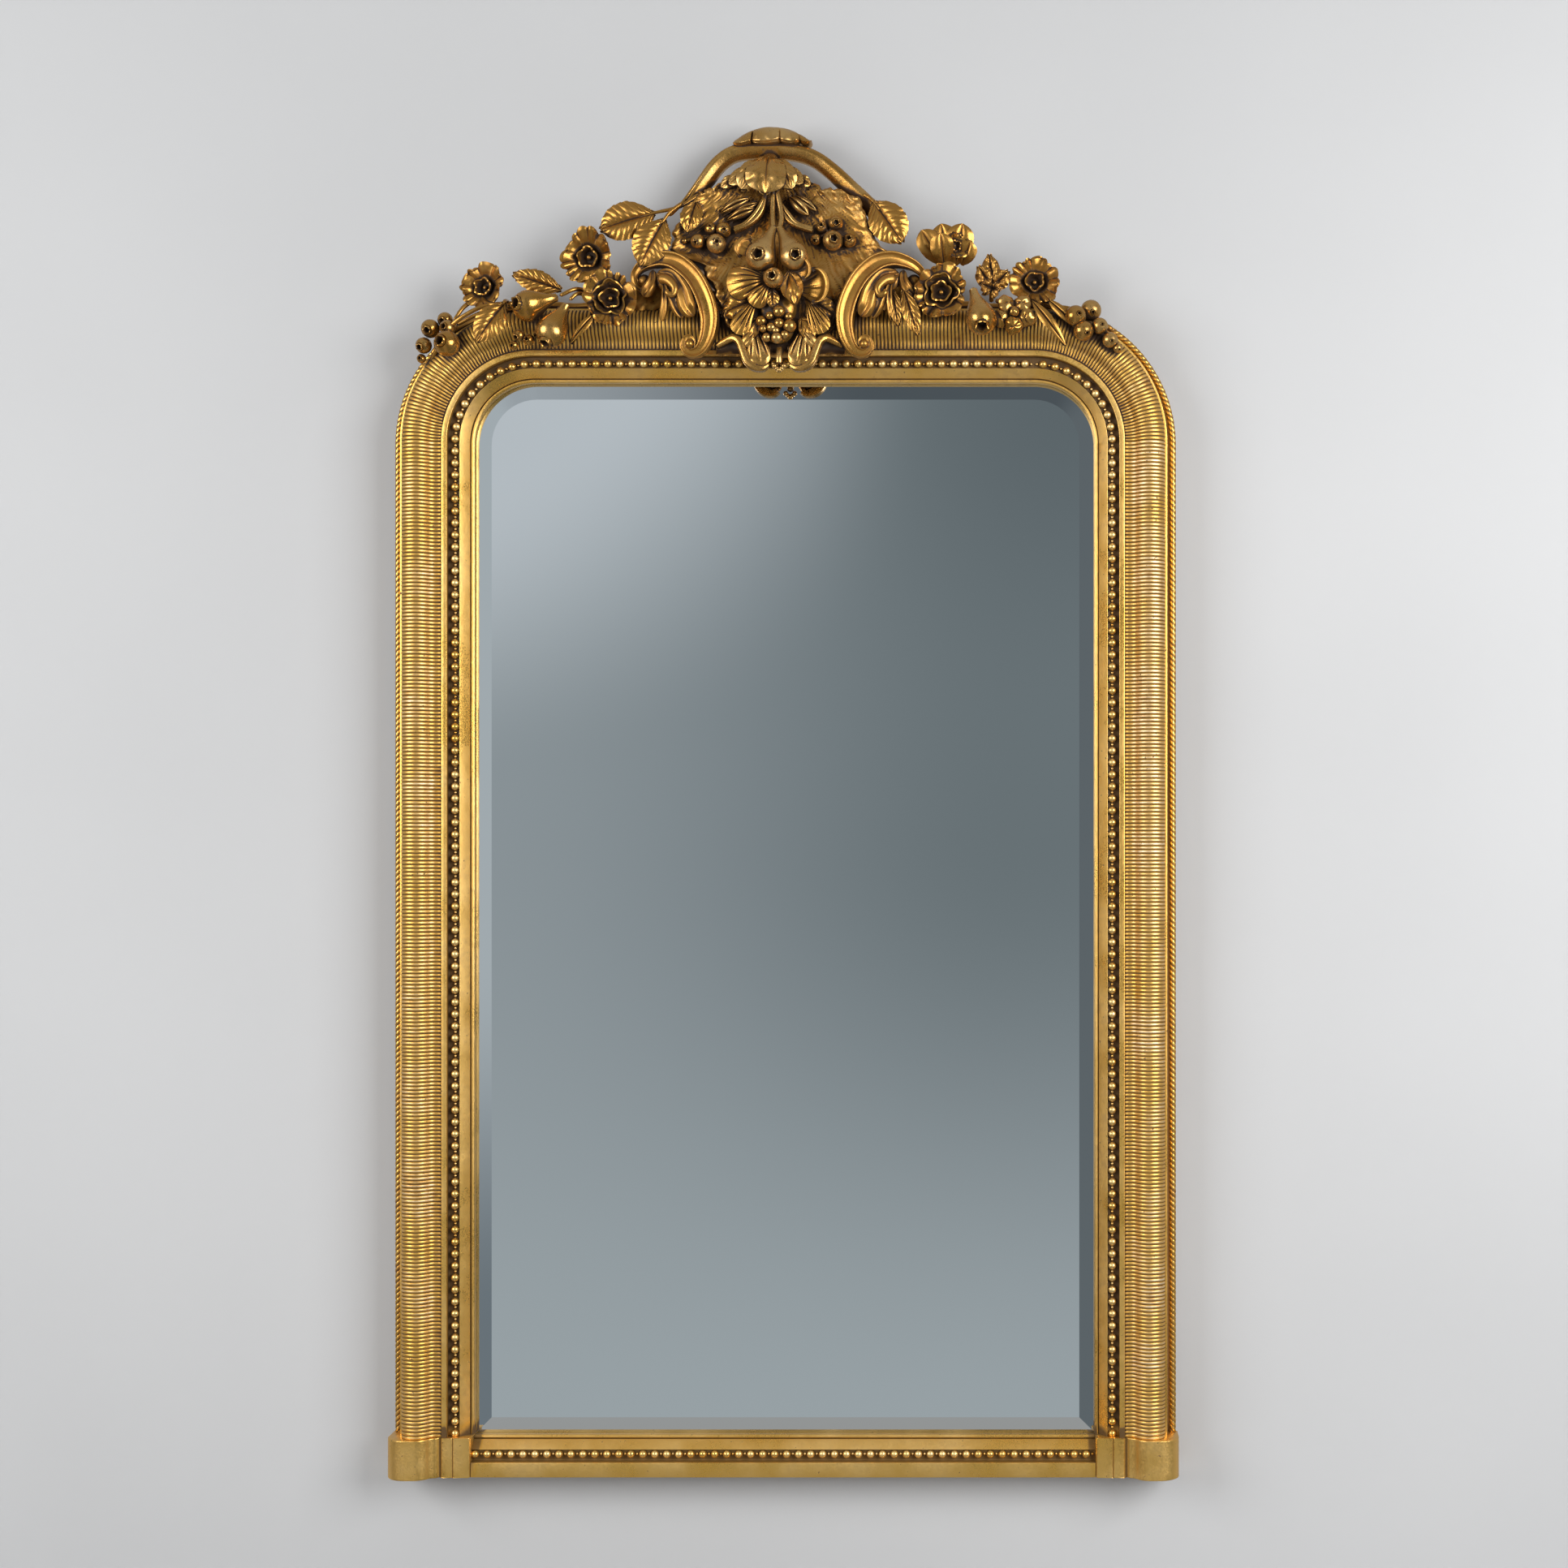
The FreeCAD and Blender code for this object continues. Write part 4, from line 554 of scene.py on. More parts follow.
def softened(corners, radius, steps=3):
    """A closed outline with every corner rounded."""
    corners = np.asarray(corners, float)
    places = []
    for before, here, after in zip(np.roll(corners, 1, axis=0), corners, np.roll(corners, -1, axis=0)):
        back, on = before - here, after - here
        reach = min(radius, 0.45 * np.linalg.norm(back), 0.45 * np.linalg.norm(on))
        start, end = here + unit(back) * reach, here + unit(on) * reach
        for t in np.linspace(0, 1, steps + 1):
            places.append((1 - t) ** 2 * start + 2 * t * (1 - t) * here + t**2 * end)
    return np.array(places)


def arc(centre, radius, first, last, count):
    turn = np.radians(np.linspace(first, last, count))
    return np.stack([centre[0] + radius * np.cos(turn), centre[1] + radius * np.sin(turn)], axis=1)


def curve_ends(s, middle):
    """Middle of the hollow that follows a bulge, and the turn between them in degrees."""
    reach = s.bulge_radius + s.hollow_radius
    far = (middle[0] + reach * math.cos(s.turn), middle[1] + reach * math.sin(s.turn))
    return far, math.degrees(s.turn)


def ogee(skin, steps=9):
    """The bulge and the hollow, a skin under the reeded face, from the shoulder to the fillet."""
    s = bpy.context.scene.mirror_moulding
    middle = (MOULDING - s.bulge_inset, s.shoulder)
    far, turn = curve_ends(s, middle)
    radius = s.hollow_radius + skin
    end = math.degrees(math.acos((MOULDING - s.fillet_inset - far[0]) / radius))
    bulge = arc(middle, s.bulge_radius - skin, 180, turn, steps + 4)
    return np.vstack([bulge, arc(far, radius, 180 + turn, 360 - end, steps)[1:]])


def inner_members():
    """Fillet, pearl bed, slope, sight bead and rabbet."""
    s = bpy.context.scene.mirror_moulding
    bead = arc((MOULDING - s.bead, s.bead_height), s.bead, 180, 0, 7)
    flat = [(s.bed_inset, s.fillet), (s.bed_inset, s.bed), (s.slope_inset, s.bed)]
    flat += [(s.slope_inset, s.slope_top), (2 * s.bead, s.slope_foot)]
    foot = [(0, s.rabbet), (s.rabbet_inset, s.rabbet), (s.rabbet_inset, LEDGE)]
    flat, foot = ([(MOULDING - inset, height) for inset, height in part] for part in (flat, foot))
    return flat + bead.tolist() + foot


def moulding_section():
    s = bpy.context.scene.mirror_moulding
    corners = [(s.edge, LEDGE), (s.edge, s.shoulder)] + ogee(s.facing).tolist()
    return softened(corners + [(MOULDING - s.fillet_inset, s.fillet)] + inner_members(), s.softness)


def stations(part, along):
    """Places at shares of one part's outer edge, with the inward direction at each, as (x, z)."""
    level = np.ones_like(along)
    if part == "top":
        return np.stack([(2 * along - 1) * ARC_X, TOP * level], axis=1), np.stack([0 * level, -level], axis=1)
    side = SIDES[part.split("_")[-1]]
    if part.startswith("corner"):
        turn = along * np.pi / 2
        out = np.stack([side * np.cos(turn), np.sin(turn)], axis=1)
        return np.array([side * ARC_X, ARC_Z]) + CORNER * out, -out
    height = BLOCK_TOP + along * (ARC_Z - BLOCK_TOP)
    return np.stack([side * HALF_WIDTH * level, height], axis=1), np.stack([-side * level, 0 * level], axis=1)


def set_out(edge, inward, lines, heights):
    """Grid of points so far inward from places on the outer edge and so high above the wall."""
    flat = edge[:, None] + lines[..., None] * inward[:, None]
    return np.stack(np.broadcast_arrays(flat[..., 0], -heights, flat[..., 1]), axis=-1)


PARTS = ("left", "right", "corner_left", "corner_right", "top")


def part_length(part, line):
    """Length of one part of the frame along a line."""
    if part == "top":
        return 2 * ARC_X
    return (CORNER - line) * math.pi / 2 if part.startswith("corner") else ARC_Z - BLOCK_TOP


class MIRROR_OT_moulding(bpy.types.Operator):
    """Build the moulding round the glass, with its edges softened by gesso"""

    bl_idname = "mirror.moulding"
    bl_label = "Moulding"

    steps: IntProperty(name="Steps", description="Sections along each length", default=60, min=2)

    def execute(self, context):
        lines, heights = moulding_section().T
        for part in PARTS:
            rings = set_out(*stations(part, np.linspace(0, 1, self.steps)), lines, heights)
            make_piece(f"moulding_{part}", [lofted(rings)], "moulding_gilding", sharp=40)
        return {"FINISHED"}


class MIRROR_OT_reeding(bpy.types.Operator):
    """Build the ribbed facing over the moulding's bulge and hollow"""

    bl_idname = "mirror.reeding"
    bl_label = "Reeding"

    # Painted shade and sheen: more wash darkens the top and more wear pales the uprights, after how the
    # lights fall on them
    SHADE_AND_SHEEN_BY_PART = {"left": -0.12, "right": -0.16, "top": 0.02, "corner_left": -0.06, "corner_right": -0.06}
    ONE_RIB = np.array([0.0, 0.1, 0.26, 0.5, 0.74, 0.9])  # places along the frame on each rib

    def execute(self, context):
        s = context.scene.mirror_moulding
        face = ogee(0)
        back = ogee(s.facing)[::-1]
        way = np.gradient(face, axis=0)
        normal = np.stack([-way[:, 1], way[:, 0]], axis=1)
        normal /= np.linalg.norm(normal, axis=1, keepdims=True)
        fade = np.ones((len(face), 1))
        fade[0], fade[-1] = 0.5, 0.35
        edges = np.interp(np.arange(len(face)), (0, 2, len(face) - 6, len(face) - 1), (0.3, 0, 0, 0.3))
        crown = np.sin(np.pi * self.ONE_RIB) ** 0.55
        random = np.random.default_rng(7)
        for part in PARTS:
            ribs = round(part_length(part, MOULDING - s.bulge_inset) / s.rib_pitch)
            along = np.append((np.arange(ribs)[:, None] + self.ONE_RIB).ravel() / ribs, 1.0)
            rise = np.append((crown * (1 - 0.07 * random.random((ribs, 1)))).ravel(), 0.0)
            sunk = (1 - rise)[:, None]
            front = face - sunk[..., None] * s.rib_depth * normal * fade
            section = np.hstack([front, np.broadcast_to(back, (len(along), *back.shape))])
            rings = set_out(*stations(part, along), section[..., 0], section[..., 1])
            # painted shade on the top and painted sheen on the uprights, by part
            hollow = np.hstack([0.95 * sunk + edges, np.zeros((len(along), len(back)))]) + self.SHADE_AND_SHEEN_BY_PART[part]
            piece = f"reeding_{part}"
            make_piece(piece, [lofted(rings)], "reeding_gilding", 180, hollow.ravel())
        return {"FINISHED"}


class MIRROR_OT_pearls(bpy.types.Operator):
    """Build the pearl rows with a small bead between each two pearls"""

    bl_idname = "mirror.pearls"
    bl_label = "Pearls"

    bead: share("Bead", 0.36, "Size of a bead against a pearl")

    ROWS = {"left": ("left",), "right": ("right",), "top": ("corner_left", "top", "corner_right")}

    def execute(self, context):
        s = context.scene.mirror_moulding
        line = MOULDING - s.pearl_inset
        for row, parts in self.ROWS.items():
            places = []
            for part in parts:
                along = self.spaced(part_length(part, line), s)
                places += set_out(*stations(part, along), np.array([line]), np.array([s.bed]))[:, 0].tolist()
            self.row(f"pearls_{row}", places, s)
        across = (2 * self.spaced(2 * SIGHT, s) - 1) * SIGHT
        self.row("pearls_base", [(x, -s.bed, line - MOULDING + SILL) for x in across], s)
        return {"FINISHED"}

    def spaced(self, run, s):
        """Shares of a run where pearls and beads lie in turn."""
        count = 2 * round(run / s.pearl_pitch)
        return (np.arange(count) + 0.5) / count

    def row(self, name, places, s):
        rise = np.radians(np.linspace(-42, 90, 9))
        dome = np.stack([np.cos(rise), np.sin(rise) + 0.66], axis=1)
        dome[-1, 0] = 0.03
        depth = np.interp(np.degrees(rise), (-42, 10, 50), (0.75, 0.12, -0.3))
        solids, hollow = [], []
        for i, place in enumerate(places):
            radius, around = (self.bead * s.pearl_radius, 10) if i % 2 else (s.pearl_radius, 16)
            solids.append(turned(dome * radius, place, OUT, around))
            hollow.append(np.repeat(depth, around))
        make_piece(name, solids, "pearl_gilding", 80, np.concatenate(hollow))


class MIRROR_OT_rope(bpy.types.Operator):
    """Build the twisted rope along the outer edge"""

    bl_idname = "mirror.rope"
    bl_label = "Rope edge"

    strands: IntProperty(name="Strands", description="Strands in the rope", default=3, min=2)

    ROWS = {"left": ("left", "corner_left"), "right": ("right", "corner_right"), "top": ("top",)}

    def execute(self, context):
        s = context.scene.mirror_moulding
        turn = np.linspace(0, 2 * np.pi, 20, endpoint=False)
        for row, parts in self.ROWS.items():
            edge, inward = [], []
            for part in parts:
                count = int(part_length(part, 0) / (0.2 * s.strand_pitch))
                places, ways = stations(part, np.linspace(0, 1, count))
                start = 1 if edge else 0  # the place where two parts meet is there already
                edge.extend(places[start:])
                inward.extend(ways[start:])
            edge, inward = np.array(edge), np.array(inward)
            twist = distances(edge)[:, None] * 2 * np.pi / (self.strands * s.strand_pitch)
            lobe = np.abs(np.cos(self.strands * (turn - twist) / 2))
            radius = s.rope_radius * (0.72 + 0.28 * lobe**0.6)
            height = LEDGE + 0.84 * s.rope_radius + radius * np.sin(turn)
            rings = set_out(edge, inward, s.rope_line - radius * np.cos(turn), np.maximum(height, LEDGE))
            hollow = 0.8 * (1 - lobe) - 0.1 + 0.35 * (np.sin(turn) < -0.2)
            make_piece(f"rope_{row}", [lofted(rings)], "rope_gilding", 180, hollow.ravel())
        return {"FINISHED"}


class MIRROR_OT_base(bpy.types.Operator):
    """Build the rail under the glass and the plain blocks at its ends"""

    bl_idname = "mirror.base"
    bl_label = "Base"

    block_round: length("Round", 26, "Radius of the block's outer round")
    block_flat: length("Flat", 12, "Flat on the front of the block")
    block_front: length("Front", 74, "Front of the block, from the wall")
    panel_front: length("Panel", 59, "Front of the flat panel beside the rail, from the wall")
    panel_foot: length("Panel foot", 6, "Depth of the panel's lap over the rabbet")
    overhang: length("Overhang", 2, "How far the block stands past the frame's edge")

    # Millimetres inward from the panel's step, or outward from the sight edge, and back from its front
    PANEL_START = ((-1.5, 4), (1, 0.6), (8, 0), (14, 0), (15, 1.4), (16, 0))
    PANEL_END = ((2, 0.3), (0.3, 3))

    def execute(self, context):
        s = context.scene.mirror_moulding
        start = MOULDING - SILL
        section = softened([(start, LEDGE), (start, s.fillet)] + inner_members(), s.softness)
        across = np.linspace(-SIGHT, SIGHT, 60)[:, None]
        rings = np.broadcast_arrays(across, -section[:, 1], section[:, 0] - MOULDING + SILL)
        self.block("base_rail", np.stack(rings, axis=-1))
        plan = self.plan(s)
        for word, side in SIDES.items():
            outline = np.stack([side * (HALF_WIDTH - plan[:, 0]), -plan[:, 1]], axis=1)
            inward = outline.mean(axis=0) - outline
            inward /= np.linalg.norm(inward, axis=1, keepdims=True)
            rings = []
            for height, shrink in self.levels(s.softness):
                rings.append(np.column_stack([outline + inward * shrink, np.full(len(outline), height)]))
            self.block(f"base_block_{word}", rings)
        return {"FINISHED"}

    def block(self, name, rings):
        make_piece(name, [lofted(rings)], "base_gilding", sharp=40)

    def levels(self, soft):
        """Heights of the block's rings, with how far each is drawn in."""
        ends = ((0.0, soft), (0.3 * soft, 0.3 * soft), (soft, 0.0))
        body = [(height, 0.0) for height in np.linspace(2 * soft, BLOCK_TOP - 2 * soft, 16)]
        return [*ends, *body, *((BLOCK_TOP - height, shrink) for height, shrink in reversed(ends))]

    def plan(self, s):
        """Plan of a block: a broad round, the hollow and a flat panel with a joint line."""
        start, panel = -self.overhang, self.panel_front
        corner = (start + self.block_round, self.block_front - self.block_round)
        outer = arc(corner, self.block_round, 180, 90, 12)
        second = (corner[0] + self.block_flat, self.block_front - s.bulge_radius)
        far, turn = curve_ends(s, second)
        inner = arc(second, s.bulge_radius, 90, turn, 8)
        hollow = arc(far, s.hollow_radius, 180 + turn, 262, 7)[1:]
        step, foot = MOULDING - s.fillet_inset, LEDGE + self.panel_foot
        face = [(step + x * MM, panel - y * MM) for x, y in self.PANEL_START]
        face += [(MOULDING - x * MM, panel - y * MM) for x, y in self.PANEL_END]
        face += [(face[-1][0], foot), (MOULDING - s.rabbet_inset, foot), (MOULDING - s.rabbet_inset, LEDGE)]
        return softened([(start, LEDGE), *outer, *inner, *hollow, *face], s.softness, 2)


# Carving. Places on the crest are (across, rise above the frame's top, height from the wall) in millimetres


def at(x, rise, front):
    """A place on the crest, or a grid of them."""
    return np.stack(np.broadcast_arrays(x * MM, -front * MM, TOP + rise * MM), axis=-1)


def each(places):
    return [at(*place) for place in places]


def along_edge(side, along, out, front):
    """A place by the garland: along the top edge from the corner, or down round the corner where negative."""
    if along >= 0:
        return np.array([side * (ARC_X - along * MM), -front * MM, TOP + out * MM])
    turn, radius = -along * MM / CORNER, CORNER + out * MM
    return np.array([side * (ARC_X + radius * math.sin(turn)), -front * MM, ARC_Z + radius * math.cos(turn)])


def waves(places, size, seed, count=14):
    """Smooth seeded unevenness, about -1 to 1, with features of about this size."""
    random = np.random.default_rng(seed)
    ways = random.normal(size=(count, places.shape[-1])) * 2.2 / size
    starts = random.random(count) * 2 * np.pi
    return np.sin(places @ ways.T + starts).sum(axis=-1) / math.sqrt(count)


def step_up(value, low, high):
    share = np.clip((value - low) / (high - low), 0, 1)
    return share * share * (3 - 2 * share)


def blade_outline(t, widest, point):
    """Half width of a leaf along its length, 1 at its widest."""
    rising = np.sin(np.pi / 2 * np.clip(t / widest, 0, 1)) ** 0.75
    falling = (1 - np.clip((t - widest) / (1 - widest), 0, 1) ** point) ** 0.75
    return np.maximum(np.where(t < widest, rising, falling), 0.05)


def blade_frame(base, tip, facing):
    """Length of a blade, and its directions: to the tip, out of its face and across it."""
    run = np.linalg.norm(tip - base)
    way = (tip - base) / run
    normal = unit(np.asarray(facing) - way * np.dot(way, facing))
    return run, way, normal, np.cross(way, normal)


def leaf(
    base,
    tip,
    width,
    facing=OUT,
    widest=0.42,
    point=1.7,
    arch=0.08,
    fold=0.3,
    veins=9,
    depth=0.9,
    teeth=0.0,
    ruffle=0.0,
    curl=0.0,
    thick=2.6,
    seed=1,
    grain=(34, 19),
):
    """A carved leaf or petal with a mid vein, slanted side veins and a waved edge. Sizes in millimetres."""
    run, way, normal, side = blade_frame(base, tip, facing)
    t = np.linspace(0, 1, grain[0])[:, None]
    c = np.linspace(-1, 1, grain[1])[None]
    reach = np.abs(c)
    half = width * MM / 2 * blade_outline(t, widest, point)
    if teeth:
        half = half * (1 - teeth * ((t * veins) % 1.0) * np.sin(np.pi * t) ** 0.3)
    height = arch * run * np.sin(np.pi * t) + fold * half * np.sin(np.pi * reach**0.8)
    height = height - 1.3 * depth * MM * np.exp(-((c / 0.13) ** 2)) * (1 - t**3)
    if veins:
        phase = t * veins - reach * 1.7 + 0.15 * np.sin(9 * t)
        groove = (0.5 + 0.5 * np.cos(2 * np.pi * phase)) ** 5
        height = height - depth * MM * groove * step_up(reach, 0.05, 0.25) * (1 - 0.7 * reach**5)
    if ruffle:
        random = np.random.default_rng(seed)
        for count, amount in ((2.3, 0.6), (3.7, 0.4), (6.1, 0.25)) if veins else ((0.9, 0.6), (1.7, 0.5)):
            wave = np.sin(2 * np.pi * count * t + random.random() * TURN + 1.4 * np.sign(c))
            height = height + ruffle * half * amount * wave * reach**1.6
    height = height - curl * run * t**3
    front = base + way * (t * run)[..., None] + side * (c * half)[..., None] + normal * height[..., None]
    return skinned(front, thick * MM * (1 - 0.5 * reach**2), facing=normal)


def fan(base, tip, spread, grooves, depth, bulge, curl, roll=0.0):
    """A petal spread like a fan from its base, grooved along its rays, with its rim rolled forward."""
    run, way, normal, side = blade_frame(base, tip, OUT)
    t = np.linspace(0, 1, 34)[:, None]
    a = np.linspace(-1, 1, 16 * grooves + 1)[None]
    edge = 1 - 0.22 * (1 - np.abs(np.cos(np.pi / 2 * a)) ** 0.5) - 0.12 * np.abs(a) ** 4
    far = run * (0.08 + 0.92 * t * (1 - (1 - edge) * t**2))
    groove = (0.5 + 0.5 * np.cos(np.pi * grooves * a)) ** 5
    height = bulge * run * np.sin(np.pi * t**0.85) * (1 - 0.5 * a**2) - curl * run * t**3
    height = height - depth * MM * groove * step_up(t, 0.05, 0.3) * (1 - 0.85 * step_up(t, 0.55, 0.95))
    height = height + roll * MM * np.exp(-(((t - 0.9) / 0.09) ** 2))
    along, across = far * np.cos(spread * a), far * np.sin(spread * a)
    front = base + way * along[..., None] + side * across[..., None] + normal * height[..., None]
    return skinned(front, 3.2 * MM, facing=normal)


def ball(place, radius, facing=OUT, around=18, squash=1.0):
    turn = np.radians(np.linspace(-88, 88, 13))
    profile = np.stack([np.cos(turn), squash * np.sin(turn)], axis=1) * radius * MM
    return turned(profile, place, facing, around)


# The dried flower end of a fruit, as shares of its radius: so far out and so far forward
EYE = np.array(
    [(0.06, -1.4), (0.5, -1.35), (0.7, -0.6), (0.76, 0.05), (0.86, 0.3)]
    + [(1.0, 0.26), (1.14, -0.15), (1.16, -1.2), (0.3, -1.5)]
)


def eye(place, facing, radius, seed):
    """The dried flower end of a fruit: a raised ring of five points round a pit."""
    start = np.random.default_rng(seed).random() * TURN

    def shape(out, ahead, turn):
        rim = step_up(ahead / (radius * MM), -0.2, 0.3) * np.cos(5 * turn + start)
        return out * (1 + 0.12 * rim), ahead + 0.14 * radius * MM * rim

    return turned(EYE * radius * MM, place, facing, 25, shape)


def with_eye(flesh, place, facing, radius, seed):
    """Both solids of a fruit: its flesh, pushed in round a place, and the eye that sits there."""
    points, faces = flesh
    size = radius * MM
    away = points - place
    ahead = away @ facing
    aside = np.linalg.norm(away - ahead[:, None] * facing, axis=1) / (1.05 * size)
    push = np.where((ahead > -1.5 * size) & (aside < 1), 1.75 * size * (1 - np.minimum(aside, 1) ** 4), 0)
    return [(points - push[:, None] * facing, faces), eye(place, facing, radius, seed)]


def berry(place, radius, facing, pit, seed):
    """A round fruit with its flower end turned one way."""
    facing = unit(facing)
    end = place + facing * radius * 0.93 * MM
    return with_eye(ball(place, radius, facing, 22, 0.96), end, facing, radius * pit, seed)


def pear(body, neck, radius, facing, pit, seed):
    """A pear from its round body to its neck, with its flower end turned one way."""
    facing = unit(facing)
    run = np.linalg.norm(neck - body) / (radius * MM)
    turn = np.radians(np.linspace(-88, 30, 17))
    profile = np.stack([np.cos(turn), np.sin(turn)], axis=1)
    t = np.linspace(0, 1, 15)[1:]
    wide, start = profile[-1]
    taper = wide + (0.26 - wide) * np.sin(np.pi / 2 * t) ** 1.25
    tail = np.stack([taper, start + (run - start) * t], axis=1)
    profile = np.vstack([profile, tail, [(0.1, run + 0.08)]]) * radius * MM

    def shape(out, ahead, angle):
        return out * (1 + 0.03 * np.cos(3 * angle + seed) + 0.02 * np.cos(2 * angle + ahead * 90)), ahead

    flesh = turned(profile, body, neck - body, 36, shape)
    return with_eye(flesh, body + facing * radius * 0.95 * MM, facing, radius * pit, seed)


# A flower's bowl from its throat to its rim, as shares: along the petal, out and forward
BOWL = (0, 0.14, 0.32, 0.55, 0.78, 0.93, 1)
BOWL_OUT = (0.22, 0.33, 0.46, 0.66, 0.88, 1.0, 0.99)
BOWL_AHEAD = (-0.62, -0.52, -0.32, -0.14, -0.03, -0.02, -0.09)


def ruffled(place, facing, radius, petals, folds, seed):
    """A bowl of petals in one piece: folded, notched between the petals and ruffled at the rim."""
    start = np.random.default_rng(seed).random() * TURN
    q = np.linspace(0, 1, 28)[:, None]
    turn = np.linspace(0, 2 * np.pi, 180, endpoint=False)[None]
    drift = turn + 0.2 * np.sin(2 * turn + start) + 0.12 * np.sin(3 * turn - start)
    lobe = np.abs(np.cos(petals * drift / 2 + start)) ** 0.45
    ridge = np.abs(np.sin(folds * drift / 2 + start)) ** 0.7
    wander = 0.06 * np.sin(turn * 2 + start) + 0.05 * np.sin(turn * 3 + 2 * start)
    out = np.interp(q, BOWL, BOWL_OUT) * (1 + wander * q)
    out = out * (1 - 0.17 * (1 - lobe) * step_up(q, 0.5, 1)) * (1 - 0.1 * (1 - ridge) * q**3)
    ahead = 0.8 * np.interp(q, BOWL, BOWL_AHEAD) + 0.13 * (ridge - 0.6) * step_up(q, 0.2, 0.8)
    ahead = ahead + 0.14 * (lobe - 0.8) * step_up(q, 0.35, 1)
    swell = np.sin(petals * drift + seed) + np.sin((petals + 3) * turn + 2 * seed)
    ahead = ahead + 0.1 * swell * q**2
    front = spun(place, facing, turn, radius * MM * out, radius * MM * ahead)
    return skinned(front, 2.8 * MM, wrap=True, facing=unit(facing))


def flower(place, facing, radius, petals, folds, seed, full):
    """An open flower: ruffled petals round a thin-rimmed cup with a knob, and a wider cup where full."""
    forward, size = unit(facing), radius * MM
    start = np.random.default_rng(seed).random() * TURN
    solids = [ruffled(place, facing, radius, petals, folds, seed)]
    turn = np.linspace(0, 2 * np.pi, 72, endpoint=False)[None]
    q = np.linspace(0, 1, 12)[:, None]
    for i, (wide, high) in enumerate(((0.31, -0.08), (0.52, -0.02))[: 2 if full else 1]):
        pull = (0.1 * np.cos(5 * turn + start + i) + 0.07 * np.cos(3 * turn - start)) * q
        frill = 1 + 0.1 * i * np.abs(np.sin(4.5 * turn + start)) * q**2
        out = wide * (0.5 + 0.5 * np.sin(1.5 * q)) * (1 + pull) * frill
        rim = 0.06 * np.cos(5 * turn + 2 * start) + 0.06 * np.cos((2 + i) * turn + i)
        ahead = -0.5 + (0.5 + high) * q + rim * q**2
        solids.append(skinned(spun(place, facing, turn, size * out, size * ahead), 1.9 * MM, wrap=True))
    floor = np.array([(0.4, -0.62), (0.34, -0.44), (0.1, -0.42)])
    solids.append(turned(floor * size, place, forward, 18))
    solids.append(ball(place - forward * 0.34 * size, 0.1 * radius, forward, 12))
    return solids


GROUND_FOOT, GROUND_TOP = 6, 169  # rises between which the cartouche's ground leans back


def ground_front(rise, sizes):
    """How far the cartouche's ground stands from the wall, in millimetres."""
    lean = np.clip((rise - GROUND_FOOT) / (GROUND_TOP - GROUND_FOOT), 0, 1)
    return (sizes.ground_front - lean * (sizes.ground_front - sizes.ground_top)) / MM


